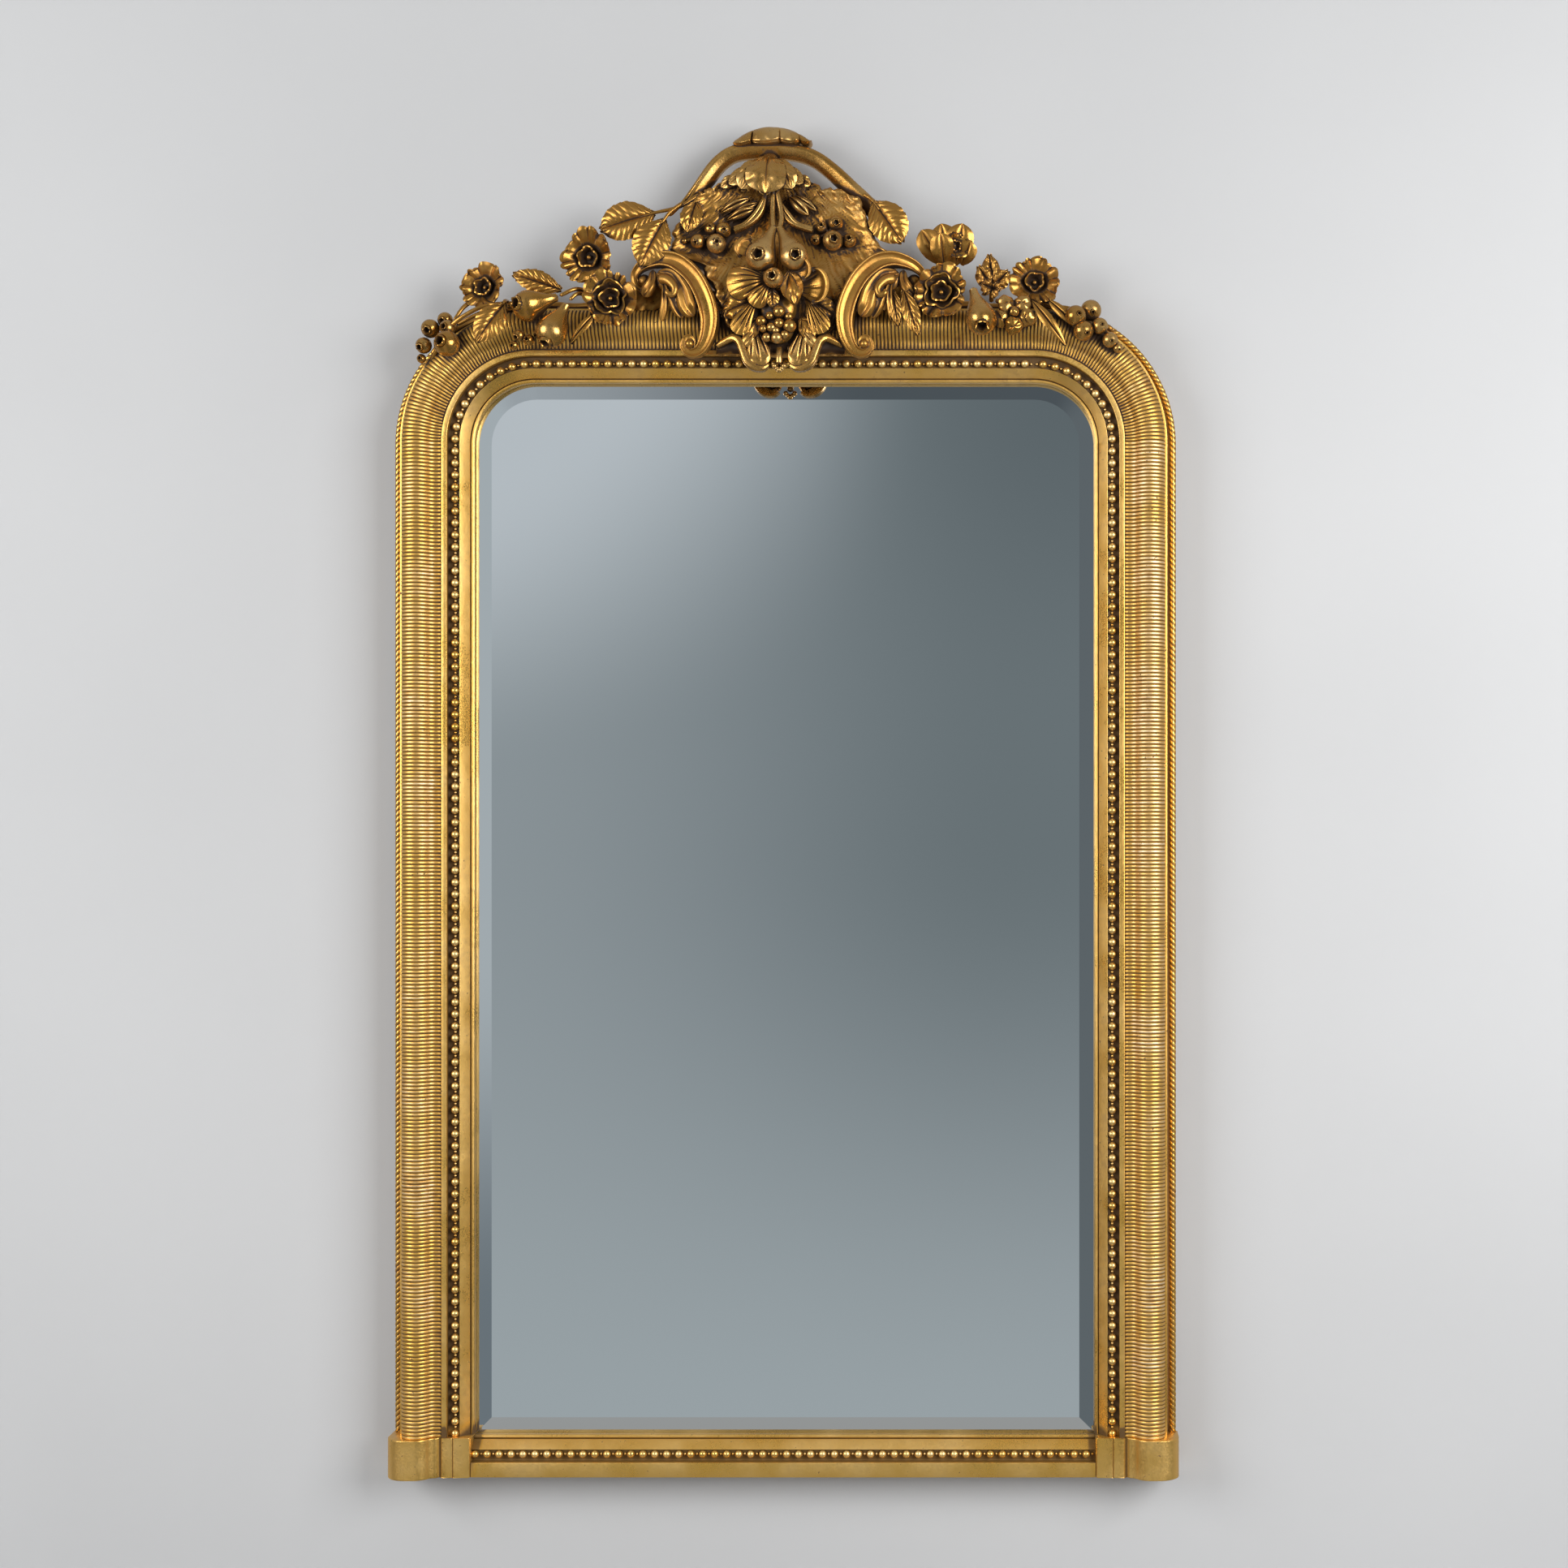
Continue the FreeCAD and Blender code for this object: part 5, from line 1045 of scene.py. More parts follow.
class MIRROR_OT_cartouche(bpy.types.Operator):
    """Build the cartouche, the strap that arches over it, its cap and the palmette"""

    bl_idname = "mirror.cartouche"
    bl_label = "Cartouche"

    # Edges of the ground from its top down: rise, then across at the left and at the right
    EDGES = (
        (133, -108, 96), (108, -127, 106), (82, -138, 114), (58, -143, 130), (44, -122, 146),
        (35, -101, 128), (22, -96, 112), (3, -86, 84), (-16, -78, 74), (-31, -74, 72), (-46, -64, 64),
        (-58, -56, 52), (-75, -44, 42),
    )
    # The strap and the vein beside it, as (across, rise), and their heights from the wall
    STRAP = (
        (-122, 120), (-114, 135), (-100, 156), (-83, 177), (-61, 190), (-25, 193), (10, 191), (38, 183),
        (62, 166), (87, 143), (116, 116),
    )
    VEIN = ((-148, 106), (-130, 124), (-113, 148), (-97, 170), (-86, 184))
    STRAP_HEIGHT, VEIN_HEIGHT = 44, 50
    # Section of the strap in shares of its width, as (across, forward)
    STRAP_OUTLINE = (
        (-0.5, -0.55), (-0.5, 0.1), (-0.4, 0.36), (-0.12, 0.42), (0.3, 0.2), (0.5, -0.12), (0.5, -0.55),
    )
    # Lobes of the palmette: base, tip, width, widest, point; across is from its middle
    PALMETTE_X = -18
    LOBES = (
        ((0, 183, 58), (-2, 131, 90), 52, 0.66, 3.6), ((-6, 178, 58), (-33, 137, 84), 29, 0.66, 2.8),
        ((6, 178, 58), (31, 137, 84), 29, 0.66, 2.8), ((-12, 162, 60), (-48, 143, 80), 22, 0.6, 2.6),
        ((12, 162, 60), (44, 144, 80), 22, 0.6, 2.6), ((-34, 152, 64), (-60, 140, 72), 17, 0.6, 2.4),
        ((32, 152, 64), (54, 142, 72), 16, 0.6, 2.4),
    )

    def execute(self, context):
        sizes = context.scene.mirror_crest
        make_piece("cartouche", self.ground(sizes), "ground_gilding")
        make_piece("arch_strap", self.strap(sizes), "carved_gilding", sharp=60)
        make_piece("arch_cap", self.cap(), "carved_gilding")
        make_piece("palmette", self.palmette(), "carved_gilding")
        return {"FINISHED"}

    def ground(self, sizes):
        """The dished ground, furrowed like bark from its top, with a torn and lifted edge."""
        c = np.linspace(-1, 1, 121)[None]
        t = np.linspace(0, 1, 141)[:, None]
        tear = 2.4 * np.sin(17 * c + 1) + 1.6 * np.sin(41 * c) + 0.8 * np.sin(83 * c + 2)
        top = 131 + 22 * (1 - np.abs(c) ** 1.9) - 4 * c + tear
        bottom = -75 - 6 * (1 - c**2)
        rise = top + (bottom - top) * t
        rises, *edges = zip(*reversed(self.EDGES))
        left, right = (np.interp(rise, rises, across) for across in edges)
        rough = 2.2 * np.sin(rise * 0.21) + 1.0 * np.sin(rise * 0.53 + 1)
        left, right = left + rough, right + 0.9 * rough * np.cos(rise * 0.05)
        x = left + (right - left) * (c + 1) / 2
        flat = np.stack([x, rise], axis=-1)
        # furrows spread from a place over the top
        turn, away = np.arctan2(x + 15, 190 - rise), np.hypot(x + 15, 190 - rise)
        strands = np.stack([turn * 42, away * 0.035], axis=-1)
        furrow = 0.5 * waves(strands, 2.4, 3) + 0.6 * waves(strands * 2.3, 2.2, 5)
        furrow = furrow + 0.5 * waves(strands * 4.4, 2.2, 6)
        layer = step_up(waves(flat, 60, 11), -0.1, 0.1) * 1.6 + step_up(waves(flat, 44, 12), 0.3, 0.44) * 1.2
        edge = np.maximum(np.abs(c), 1 - 2.2 * np.minimum(t, 1 - t))
        dish = 9 * (1 - np.clip(np.abs(c), 0, 1) ** 2) * step_up(rise, -40, 60)
        front = ground_front(rise, sizes) - dish + sizes.furrow / MM * furrow + layer
        front = front + 5 * step_up(edge, 0.84, 0.97) - 4 * step_up(edge, 0.97, 1.0)
        front = front + 0.6 * np.sin(0.5 * rise + 6 * c) * step_up(edge, 0.85, 1)
        front = np.maximum(front, np.where(rise < 8, 73.5, 30.0))  # it stays clear of the moulding below
        return [slab(at(x, rise, front), np.where(rise < 4, 71.0, 24.0) * MM)]

    def strap(self, sizes):
        count = 90
        path = smooth_path([at(*place, self.STRAP_HEIGHT) for place in self.STRAP], count)
        wide = eased(count, (0, 0.15, 0.4, 0.6, 0.8, 1), (0.8, 0.95, 0.95, 0.95, 1.0, 1.0))
        strap = carried(path, softened(self.STRAP_OUTLINE, 0.09), sizes.strap_width * wide)
        vein = [at(*place, self.VEIN_HEIGHT) for place in self.VEIN]
        return [strap, tube(vein, 2.6 * MM, 10, 1.6 * MM)]

    def cap(self):
        """A domed shell on the top of the arch, with scalloped lobes."""
        c = np.linspace(-1, 1, 81)[None]
        t = np.linspace(0, 1, 30)[:, None]
        places = np.interp(c, (-1, -0.5, 0.22, 0.72, 1), (0, 1, 2, 3, 4))
        ridge = np.abs(np.sin(np.pi * places)) ** 0.35
        x = -15 + 51 * c * (0.94 + 0.06 * t)
        upper = 222.5 - 18 * np.abs(c) ** 2.2 - 1.2 * (1 - ridge)
        lower = 203 + 1.5 * c - 5.5 * ridge
        rise = upper + (lower - upper) * t
        dome = 21 * np.sqrt(np.clip(1 - (1 - t) ** 2, 0, 1)) * (1 - 0.42 * c**2)
        front = 44 + dome - 6.5 * (1 - ridge) ** 2 * step_up(t, 0.1, 0.5)
        front = front - 3.0 * step_up(t, 0.86, 1.0) + 0.7 * waves(np.stack([x, rise], -1), 9, 21)
        return [slab(at(x, rise, front), 30 * MM)]

    def palmette(self):
        """A fan of smooth lobes hung from the arch by a neck, the middle one broadest."""
        middle = self.PALMETTE_X * np.array([MM, 0, 0])
        neck = [middle + place for place in each(((0, 183, 36), (0, 178, 48), (0, 168, 62)))]
        solids = [tube(neck, 10 * MM, 20)]
        carving = dict(veins=3, depth=0.7, fold=0.12, arch=0.12, curl=0.12, ruffle=0.1, thick=5)
        for i, (base, tip, width, widest, point) in enumerate(self.LOBES):
            ends = middle + at(*base), middle + at(*tip)
            look = dict(widest=widest, point=point, seed=40 + i, grain=(40, 31))
            solids.append(leaf(*ends, width, (0, -1, 0.25), **look, **carving))
        return solids


class MIRROR_OT_centre(bpy.types.Operator):
    """Build the fruit, leaves, grapes, berry sprays and pendant in the middle of the crest"""

    bl_idname = "mirror.centre"
    bl_label = "Centre of the crest"

    # Berries of the sprays by side and grapes, as (across, rise, radius)
    BERRIES = {
        -1: ((-91, 84, 8), (-74, 82, 10), (-107, 67, 9.5), (-83, 63, 12.5), (-125, 69, 4.5)),
        1: ((51, 86, 7.5), (69, 91, 9.5), (44, 70, 7), (66, 67, 13), (87, 68, 9)),
    }
    GRAPES = (
        (0, -29, 8.2), (-23, -40, 7), (-12, -34, 5.4), (-10, -49, 6.2), (0, -44, 6.6), (13, -47, 8.8),
        (-16, -61, 6), (-3, -62, 7.4), (7, -58, 5.6), (-20, -50, 5.4), (12, -35, 5.6), (-4, -53, 5),
    )
    # Where the stalks of a spray meet, and the size of its berries' eyes against the berries
    KNOTS = {-1: (-80, 78), 1: (60, 80)}
    EYES = {-1: 0.26, 1: 0.42}
    # Grooved petals: base, tip, spread, grooves, depth, bulge, curl, roll
    PETALS = (
        ((-12, 14, 95), (-67, 8, 100), 0.56, 5, 2.2, 0.14, 0.1, 0),
        ((-12, 10, 98), (-34, -20, 104), 0.5, 4, 1.8, 0.15, 0.12, 0),
        ((-28, -8, 91), (-56, -55, 98), 0.34, 4, 2.4, 0.09, 0.02, 0),
        ((8, 20, 95), (42, 27, 108), 0.5, 2, 0.8, -0.04, -0.1, 2.4),
        ((14, 4, 91), (65, 4, 104), 0.6, 3, 0.9, -0.05, -0.1, 2.8),
        ((32, -6, 91), (56, -54, 98), 0.36, 5, 2.4, 0.09, 0.02, 0),
        ((-28, 44, 86), (-56, 62, 92), 0.55, 2, 0.6, 0.14, -0.05, 2.0),
    )
    # Leaves: base, tip, width, widest, point, veins, ruffle, fold
    BLADES = (
        ((12, 24, 98), (20, -19, 108), 28, 0.5, 1.7, 2, 0.04, -0.28),
        ((-10, 2, 97), (-8, -24, 100), 18, 0.5, 1.6, 5, 0.05, 0.2),
        ((-28, -8, 84), (-76, -28, 86), 30, 0.55, 2.2, 6, 0.2, 0.22),
        ((30, -8, 84), (72, -30, 86), 28, 0.55, 2.2, 6, 0.2, 0.22),
        ((-26, -34, 92), (-44, -62, 98), 20, 0.55, 2.2, 3, 0.1, -0.25),
        ((26, -34, 92), (42, -62, 98), 20, 0.55, 2.2, 3, 0.1, -0.25),
    )
    # Buds above the sprays: base and tip as (across, rise), then width
    BUDS = (
        ((-72, 96), (-34, 111), 13), ((-80, 106), (-42, 124), 12), ((-66, 104), (-30, 118), 9),
        ((8, 128), (34, 102), 15), ((14, 130), (44, 108), 9),
    )
    # Half of the pendant's ribbon, and its section
    RIBBON = (
        (80, -68, 86), (70, -63, 89), (59, -59, 92), (51, -64, 94), (46, -76, 95), (41, -89, 96),
        (33, -96, 96), (22, -98, 95), (15, -94, 93),
    )
    RIBBON_OUTLINE = ((-5.4, -12), (-5.4, 0), (-3.6, 2.8), (0.5, 3.4), (4, 1.6), (5.4, -1), (5.4, -12))
    # Section of the narrow ribbons from the palmette to the sprays
    BAND_OUTLINE = ((-2.6, -9), (-2.6, 0.6), (-1.2, 2), (1.2, 2), (2.6, 0.6), (2.6, -9))
    PENDANT_X = -1
    # Small balls at the foot of the pendant, as (across, rise, radius)
    DROPS = ((-1, -101, 3.6), (-7, -96, 3.4), (5, -96, 3.4), (-4, -99, 3), (2, -99, 3))

    def execute(self, context):
        sizes = context.scene.mirror_crest
        make_piece("centre_fruit", self.fruit(), "fruit_gilding")
        make_piece("centre_leaves", self.leaves(), "leaf_gilding")
        make_piece("grape_cluster", self.grapes(), "fruit_gilding")
        make_piece("pendant_shell", self.pendant(), "carved_gilding")
        make_piece("cartouche_berries", self.sprays(sizes), "fruit_gilding")
        return {"FINISHED"}

    def fruit(self):
        solids = pear(at(-24, 42, 100), at(-9, 82, 84), 19, (-0.08, -1, -0.05), 0.38, 1)
        solids += pear(at(19, 42, 100), at(-2, 82, 84), 18.5, (0.14, -1, -0.08), 0.34, 2)
        solids += berry(at(-7, 13, 107), 13, (-0.06, -1, 0.02), 0.42, 3)
        for x, lean in ((-9, -2), (-2, 2)):
            solids.append(tube(each(((x, 80, 84), (x + lean, 100, 78), (-9 + lean, 138, 74))), 3.4 * MM))
        return solids

    def leaves(self):
        hub = np.array([(22, -4), (24, 4), (20, 12), (8, 15)]) * MM
        solids = [turned(hub, at(-3, -20, 80), OUT, 24)]
        for base, tip, *look in self.PETALS:
            solids.append(fan(at(*base), at(*tip), *look))
        carving = dict(depth=1.3, arch=0.1, curl=0.05, thick=3.2)
        for i, (base, tip, width, widest, point, veins, ruffle, fold) in enumerate(self.BLADES):
            look = dict(widest=widest, point=point, veins=veins, ruffle=ruffle, fold=fold, seed=60 + i)
            solids.append(leaf(at(*base), at(*tip), width, **look, **carving))
        return solids

    def grapes(self):
        solids = [ball(at(-2, -47, 88), 20, squash=0.6)]
        for i, (x, rise, radius) in enumerate(self.GRAPES):
            front = 105 - 0.012 * (x + 1) ** 2 - 0.006 * (rise + 46) ** 2
            solids.append(ball(at(x, rise, front), radius, (0.2 * math.sin(i), -1, 0.2 * math.cos(i))))
        solids.append(tube(each(((-3, -20, 94), (-2, -34, 98), (-2, -46, 96))), 3 * MM, 8))
        return solids

    def pendant(self):
        """Two grooved lobes in a ribbon that runs on as a bracket to each scroll, and a drop between them."""
        middle = self.PENDANT_X
        stalk = each(((middle, -70, 90), (middle, -84, 96), (middle, -94, 95)))
        solids = [tube(stalk, 3.2 * MM, 12, 4.6 * MM)]
        solids += [ball(at(x, rise, 94), radius) for x, rise, radius in self.DROPS]
        outline = softened(self.RIBBON_OUTLINE, 0.8, 2) * MM
        for side in SIDES.values():

            def beside(x, rise, front):
                return at(middle + side * x, rise, front)

            path = smooth_path([beside(*place) for place in self.RIBBON], 70)
            solids.append(carried(path, outline * (side, 1), eased(70, (0, 0.3, 0.8, 1), (0.7, 1, 1, 0.7))))
            solids.append(fan(beside(34, -36, 88), beside(23, -97, 96), 0.33, 3, 2.6, 0.09, -0.01, 1.6))
            solids.append(fan(beside(27, -48, 92), beside(45, -70, 98), 0.4, 2, 1.4, 0.1, 0.1))
            solids.append(self.shoulder(side))
        return solids

    def shoulder(self, side):
        """The plate of a bracket, under the ribbon between the pendant and the foot of a scroll."""
        t, c = np.linspace(0, 1, 20)[:, None], np.linspace(0, 1, 31)[None]
        x = self.PENDANT_X + side * (44 + 38 * c)
        top = -62 - 4 * np.cos(2 * np.pi * (c - 0.9)) * step_up(c, 0.3, 0.6)
        rise = top + (-79 - top) * t
        front = 86 - 5 * np.sin(np.pi * t) - 3 * c
        return slab(at(x, rise, front), 72 * MM)

    def sprays(self, sizes):
        solids = []
        for side, berries in self.BERRIES.items():
            knot, pit = self.KNOTS[side], self.EYES[side]
            for i, (x, rise, radius) in enumerate(berries):
                place = at(x, rise, ground_front(rise, sizes) - 4 + radius)
                facing = (0.25 * math.sin(2.4 * i), -1, 0.3 * math.cos(1.7 * i) - 0.1)
                solids += berry(place, radius, facing, pit, 90 + i)
                solids.append(tube([at(*knot, ground_front(knot[1], sizes)), place], 2.4 * MM, 8))
            for lift in (0, 6):
                band = [(-16 + side * 4, 132 - lift * 0.4), (-13 + side * (13 + lift), 106)]
                band += [(-13 + side * (27 + lift), 90), (-10 + side * 50, 80 + lift * 0.5)]
                path = smooth_path([at(x, rise, ground_front(rise, sizes) + 10) for x, rise in band], 36)
                solids.append(swept(path, softened(self.BAND_OUTLINE, 0.7, 2) * MM))
        carving = dict(widest=0.6, point=2, veins=0, fold=0.5, arch=0.12, depth=1.0, ruffle=0.15, thick=5)
        for i, (base, tip, width) in enumerate(self.BUDS):
            low, high = ground_front(base[1], sizes) - 1, ground_front(tip[1], sizes) + 6
            solids.append(leaf(at(*base, low), at(*tip, high), width, seed=110 + i, **carving))
        return solids


class MIRROR_OT_scrolls(bpy.types.Operator):
    """Build the two C-scrolls and the acanthus fingers in them"""

    bl_idname = "mirror.scrolls"
    bl_label = "Scrolls"

    OFF = -4  # the crest's middle stands this far left of the frame's

    # The left scroll's band from its head to its foot, its section, and its widths and depths along it
    BAND = (
        (-168, 10, 68), (-175, 7, 68), (-183, 13, 69), (-185, 24, 71), (-177, 34, 76), (-162, 40, 83),
        (-145, 42, 88), (-126, 36, 91), (-106, 18, 93), (-92, -8, 94), (-86, -34, 94), (-89, -58, 93),
        (-98, -75, 92), (-111, -79, 92), (-119, -70, 93), (-115, -60, 94), (-107, -62, 95),
        (-107, -69, 95),
    )
    BAND_OUTLINE = (
        (-0.5, -0.7), (-0.5, 0.14), (-0.45, 0.24), (-0.36, 0.22), (-0.29, 0.06), (0.05, 0.02),
        (0.26, 0.1), (0.36, 0.2), (0.45, 0.18), (0.5, 0.04), (0.5, -0.7),
    )
    WIDTHS = ((0, 0.1, 0.22, 0.36, 0.62, 0.74, 0.84, 0.92, 1), (0.3, 0.4, 0.7, 1, 1, 0.8, 0.5, 0.36, 0.25))
    DEPTHS = ((0, 0.2, 0.7, 1), (1.0, 1.25, 1.1, 0.8))
    # Fingers of the right leaf: places along the finger, then its width
    FINGERS = (
        (((152, 26, 84), (134, 20, 92), (120, 0, 97), (114, -20, 97), (106, -32, 91)), 24),
        (((156, 24, 82), (142, 16, 90), (134, -2, 95), (128, -20, 95), (120, -34, 90)), 15),
        (((148, 20, 84), (143, 6, 92), (143, -14, 94), (147, -38, 88)), 10),
        (((160, 30, 78), (160, 16, 82), (166, 4, 84), (172, -4, 80)), 16),
    )
    FINGER_OUTLINE = (
        (-0.5, -0.4), (-0.48, 0.1), (-0.28, 0.3), (-0.06, 0.1),
        (0.06, 0.1), (0.28, 0.3), (0.48, 0.1), (0.5, -0.4),
    )
    CURL = ((150, 16, 90), (138, 12, 98), (129, 2, 101), (131, -7, 102), (138, -5, 103), (137, 0, 103))

    def execute(self, context):
        sizes = context.scene.mirror_crest
        for word, side in SIDES.items():
            band, leaf_in_it = self.band(sizes, side), self.acanthus(side)
            make_piece(f"scroll_{word}", band, "scroll_gilding", sharp=60)
            make_piece(f"scroll_leaf_{word}", leaf_in_it, "scroll_gilding")
        return {"FINISHED"}

    def on_side(self, side, places):
        """Places beside the crest's middle, turned over to its other side where side is -1."""
        return [at(side * x + self.OFF, rise, front) for x, rise, front in places]

    def band(self, sizes, side):
        """A hollow-faced band between two lips, rolled up into a volute at its foot."""
        count = 150
        path = smooth_path(self.on_side(-side, self.BAND), count)
        outline = softened(self.BAND_OUTLINE, 0.05, 2) * (side, 1)
        section = outline[None] * (sizes.scroll_width * eased(count, *self.WIDTHS))[:, None, None]
        section[..., 1] *= eased(count, *self.DEPTHS)[:, None]
        foot, head = self.on_side(side, ((111, -68, 95), (173, 18, 66)))
        return [swept(path, section), ball(foot, 5.6), ball(head, 9)]

    def acanthus(self, side):
        outline = softened(self.FINGER_OUTLINE, 0.07, 2)
        root = self.on_side(side, ((142, 18, 78),))[0]
        solids = [ball(root, 15, squash=0.6), self.hollow_ground(side)]
        count = 40
        swell = 0.5 + 0.5 * np.sin(np.pi / 2 * np.linspace(0, 1, count)) ** 0.8
        for places, width in self.FINGERS:
            path = smooth_path(self.on_side(side, places), count)
            solids.append(carried(path, outline, width * MM * swell * rounded_ends(count, 0.2)))
        solids.append(tube(self.on_side(side, self.CURL), 7 * MM, 12, 3 * MM, 34, 0.12))
        return solids

    def hollow_ground(self, side):
        """The rough ground in the shadow behind the head of a scroll."""
        t, c = np.linspace(0, 1, 24)[:, None], np.linspace(0, 1, 31)[None]
        x = self.OFF + side * (118 + 78 * c) + 0 * t
        top = 32 - 12 * c**2
        rise = top + (-28 - top) * t
        front = 52 + 2.5 * waves(np.stack([x, rise], axis=-1), 16, 77)
        return slab(at(x, rise, front), 36 * MM)


class MIRROR_OT_garlands(bpy.types.Operator):
    """Build the garlands of flowers, fruit, berries and leaves along the top edge"""

    bl_idname = "mirror.garlands"
    bl_label = "Garlands"

    # How far round the corner each stem reaches, from the end of the top edge
    REACH = {"left": -160, "right": -112}
    # Branches from the stems
    BRANCHES = {
        "left": (
            ((-250, 6, 60), (-262, 4, 84), (-281, -6, 90)),
            ((-248, 0, 60), (-258, -2, 86), (-268, -12, 92)),
            ((-345, -14, 52), (-385, -20, 60), (-420, -36, 58)),
            ((-380, -6, 48), (-384, 4, 52), (-384, 10, 50)),
            ((-252, 4, 46), (-252, 24, 54), (-249, 42, 52)),
            ((-352, -8, 50), (-352, -10, 80), (-351, -16, 92)),
            ((-428, -46, 78), (-404, -30, 84), (-374, -16, 82), (-330, -10, 70)),
            ((-386, -2, 62), (-374, -14, 80), (-352, -16, 88)),
            ((-398, -4, 60), (-408, -18, 74), (-418, -36, 80)),
            ((-456, -88, 52), (-440, -66, 70), (-426, -50, 76)),
            ((-300, 2, 56), (-318, 4, 62), (-336, -4, 70)),
        ),
        "right": (
            ((248, -2, 50), (246, 4, 80), (245, 2, 90)), ((268, -4, 46), (268, 8, 60), (268, 20, 64)),
            ((322, -6, 46), (322, 4, 50), (323, 14, 50)), ((330, -8, 50), (352, -16, 62), (376, -26, 76)),
            ((396, -24, 58), (416, -50, 74), (434, -76, 66)),
            ((220, 0, 46), (219, 30, 54), (218, 52, 54)), ((275, -4, 56), (286, -14, 78), (297, -26, 84)),
            ((318, 2, 56), (340, -10, 68), (362, -18, 74)),
            ((300, -4, 50), (320, -10, 70), (334, -10, 76)), ((180, -2, 60), (172, -6, 78), (160, 2, 86)),
        ),
    }
    # Flowers: place, facing, radius, petals, folds, seed, whether it is full
    FLOWERS = {
        "left": (
            ((-384, 11, 74), (-0.25, -1, 0.05), 31, 5, 11, 4, False),
            ((-249, 47, 78), (-0.1, -1, -0.16), 36, 5, 13, 5, False),
            ((-217, -8, 93), (0.05, -1, -0.06), 36, 6, 13, 6, True),
        ),
        "right": (
            ((324, 18, 74), (0.02, -1, 0.06), 33, 6, 13, 8, False),
            ((204, 0, 93), (-0.05, -1, -0.05), 36, 6, 13, 9, True),
            ((224, 60, 84), (0.5, -1, -0.1), 18, 5, 9, 12, False),
        ),
    }
    # Petals of the tulip on the right: base, tip, width
    TULIP = (
        ((206, 40, 60), (178, 82, 72), 32), ((214, 40, 56), (204, 92, 66), 34),
        ((222, 40, 58), (232, 91, 72), 36), ((230, 40, 60), (243, 68, 78), 26),
        ((208, 36, 76), (204, 74, 96), 30),
    )
    # Tips of the tuft of small leaves on the right, as (across, rise)
    TUFT = ((252, 34), (266, 50), (290, 28), (279, 6), (256, 12))
    # Pears: body, neck, radius, way of the flower end
    PEARS = {
        "left": (
            ((-320, -20, 97), (-284, -8, 92), 20, (-0.6, -0.78, 0.0)),
            ((-290, -53, 97), (-272, -18, 94), 20, (-0.35, -0.5, -0.9)),
        ),
        "right": (((256, -37, 97), (245, 2, 90), 20, (0.05, -0.75, -0.6)),),
    }
    # Berries and the blossom's petals: across, rise, height, radius
    BERRIES = {
        "left": (
            (-425, -66, 88, 16.5), (-452, -42, 64, 12), (-460, -64, 66, 10.5), (-427, -44, 78, 10),
            (-434, -30, 60, 10), (-333, -56, 88, 8), (-320, -62, 90, 7.5), (-340, -68, 86, 6),
            (-309, -54, 88, 6), (-464, -80, 62, 6),
        ),
        "right": (
            (376, -30, 84, 13.5), (396, -19, 66, 13.5), (386, -49, 84, 13), (407, -42, 80, 10.5),
            (420, -60, 80, 10), (430, -70, 78, 6),
        ),
    }
    BLOSSOMS = (
        (288, -16, 86, 12.5), (308, -15, 84, 12), (313, -33, 86, 12), (297, -43, 88, 12),
        (281, -34, 87, 11.5), (298, -27, 96, 6),
    )
    # Foot of each bunch's stalk, and the size of its berries' eyes against the berries
    BUNCH_FOOT = {"left": (-420, -36, 58), "right": (376, -24, 76)}
    EYES = {"left": 0.4, "right": 0.2}
    # Leaves: base, tip, width, widest, point, veins, teeth, arch
    LEAVES = {
        "left": (
            ((-284, 8, 64), (-344, 26, 72), 31, 0.5, 2.0, 7, 0.1, 0.06),
            ((-350, -16, 92), (-384, -66, 100), 37, 0.5, 2.0, 6, 0.0, 0.1),
            ((-238, -28, 84), (-268, -66, 88), 12, 0.4, 1.5, 0, 0.0, 0.08),
            ((-164, 105, 68), (-232, 83, 72), 50, 0.5, 2.6, 8, 0.05, 0.08),
            ((-149, 93, 82), (-179, 34, 86), 49, 0.48, 2.4, 8, 0.05, 0.08),
            ((-110, 120, 68), (-120, 78, 80), 30, 0.5, 2.0, 4, 0.1, 0.1),
        ),
        "right": (
            ((320, -10, 82), (363, -68, 88), 15, 0.45, 1.5, 0, 0.0, 0.12),
            ((340, -6, 74), (382, -48, 80), 13, 0.45, 1.5, 0, 0.0, 0.1),
            ((117, 120, 68), (154, 66, 76), 50, 0.5, 2.7, 7, 0.05, 0.08),
            ((142, 2, 88), (150, -44, 92), 17, 0.45, 1.8, 5, 0.0, 0.08),
            ((157, 2, 88), (175, -56, 93), 22, 0.5, 1.9, 5, 0.0, 0.08),
        ),
    }
    # Stalks of the leaves beside the arch: places, radius at the start and at the end
    STALKS = {
        "left": (
            (((-106, 132, 60), (-132, 114, 66), (-162, 106, 68), (-200, 95, 72)), 3, 1.6),
            (((-128, 118, 68), (-142, 104, 78), (-152, 88, 84)), 2.8, 1.8),
        ),
        "right": ((((104, 132, 58), (114, 124, 64), (126, 108, 72)), 2.8, 1.6),),
    }

    def execute(self, context):
        sizes = context.scene.mirror_crest
        for word, side in SIDES.items():
            stem, flowers, leaves = self.stems(word, side, sizes), self.flowers(word), self.leaves(word)
            make_piece(f"garland_stem_{word}", stem, "leaf_gilding")
            make_piece(f"flowers_{word}", flowers, "leaf_gilding")
            make_piece(f"fruit_{word}", self.fruit(word), "fruit_gilding")
            make_piece(f"berries_{word}", self.berries(word, side), "fruit_gilding")
            make_piece(f"leaves_{word}", leaves, "leaf_gilding")
        return {"FINISHED"}

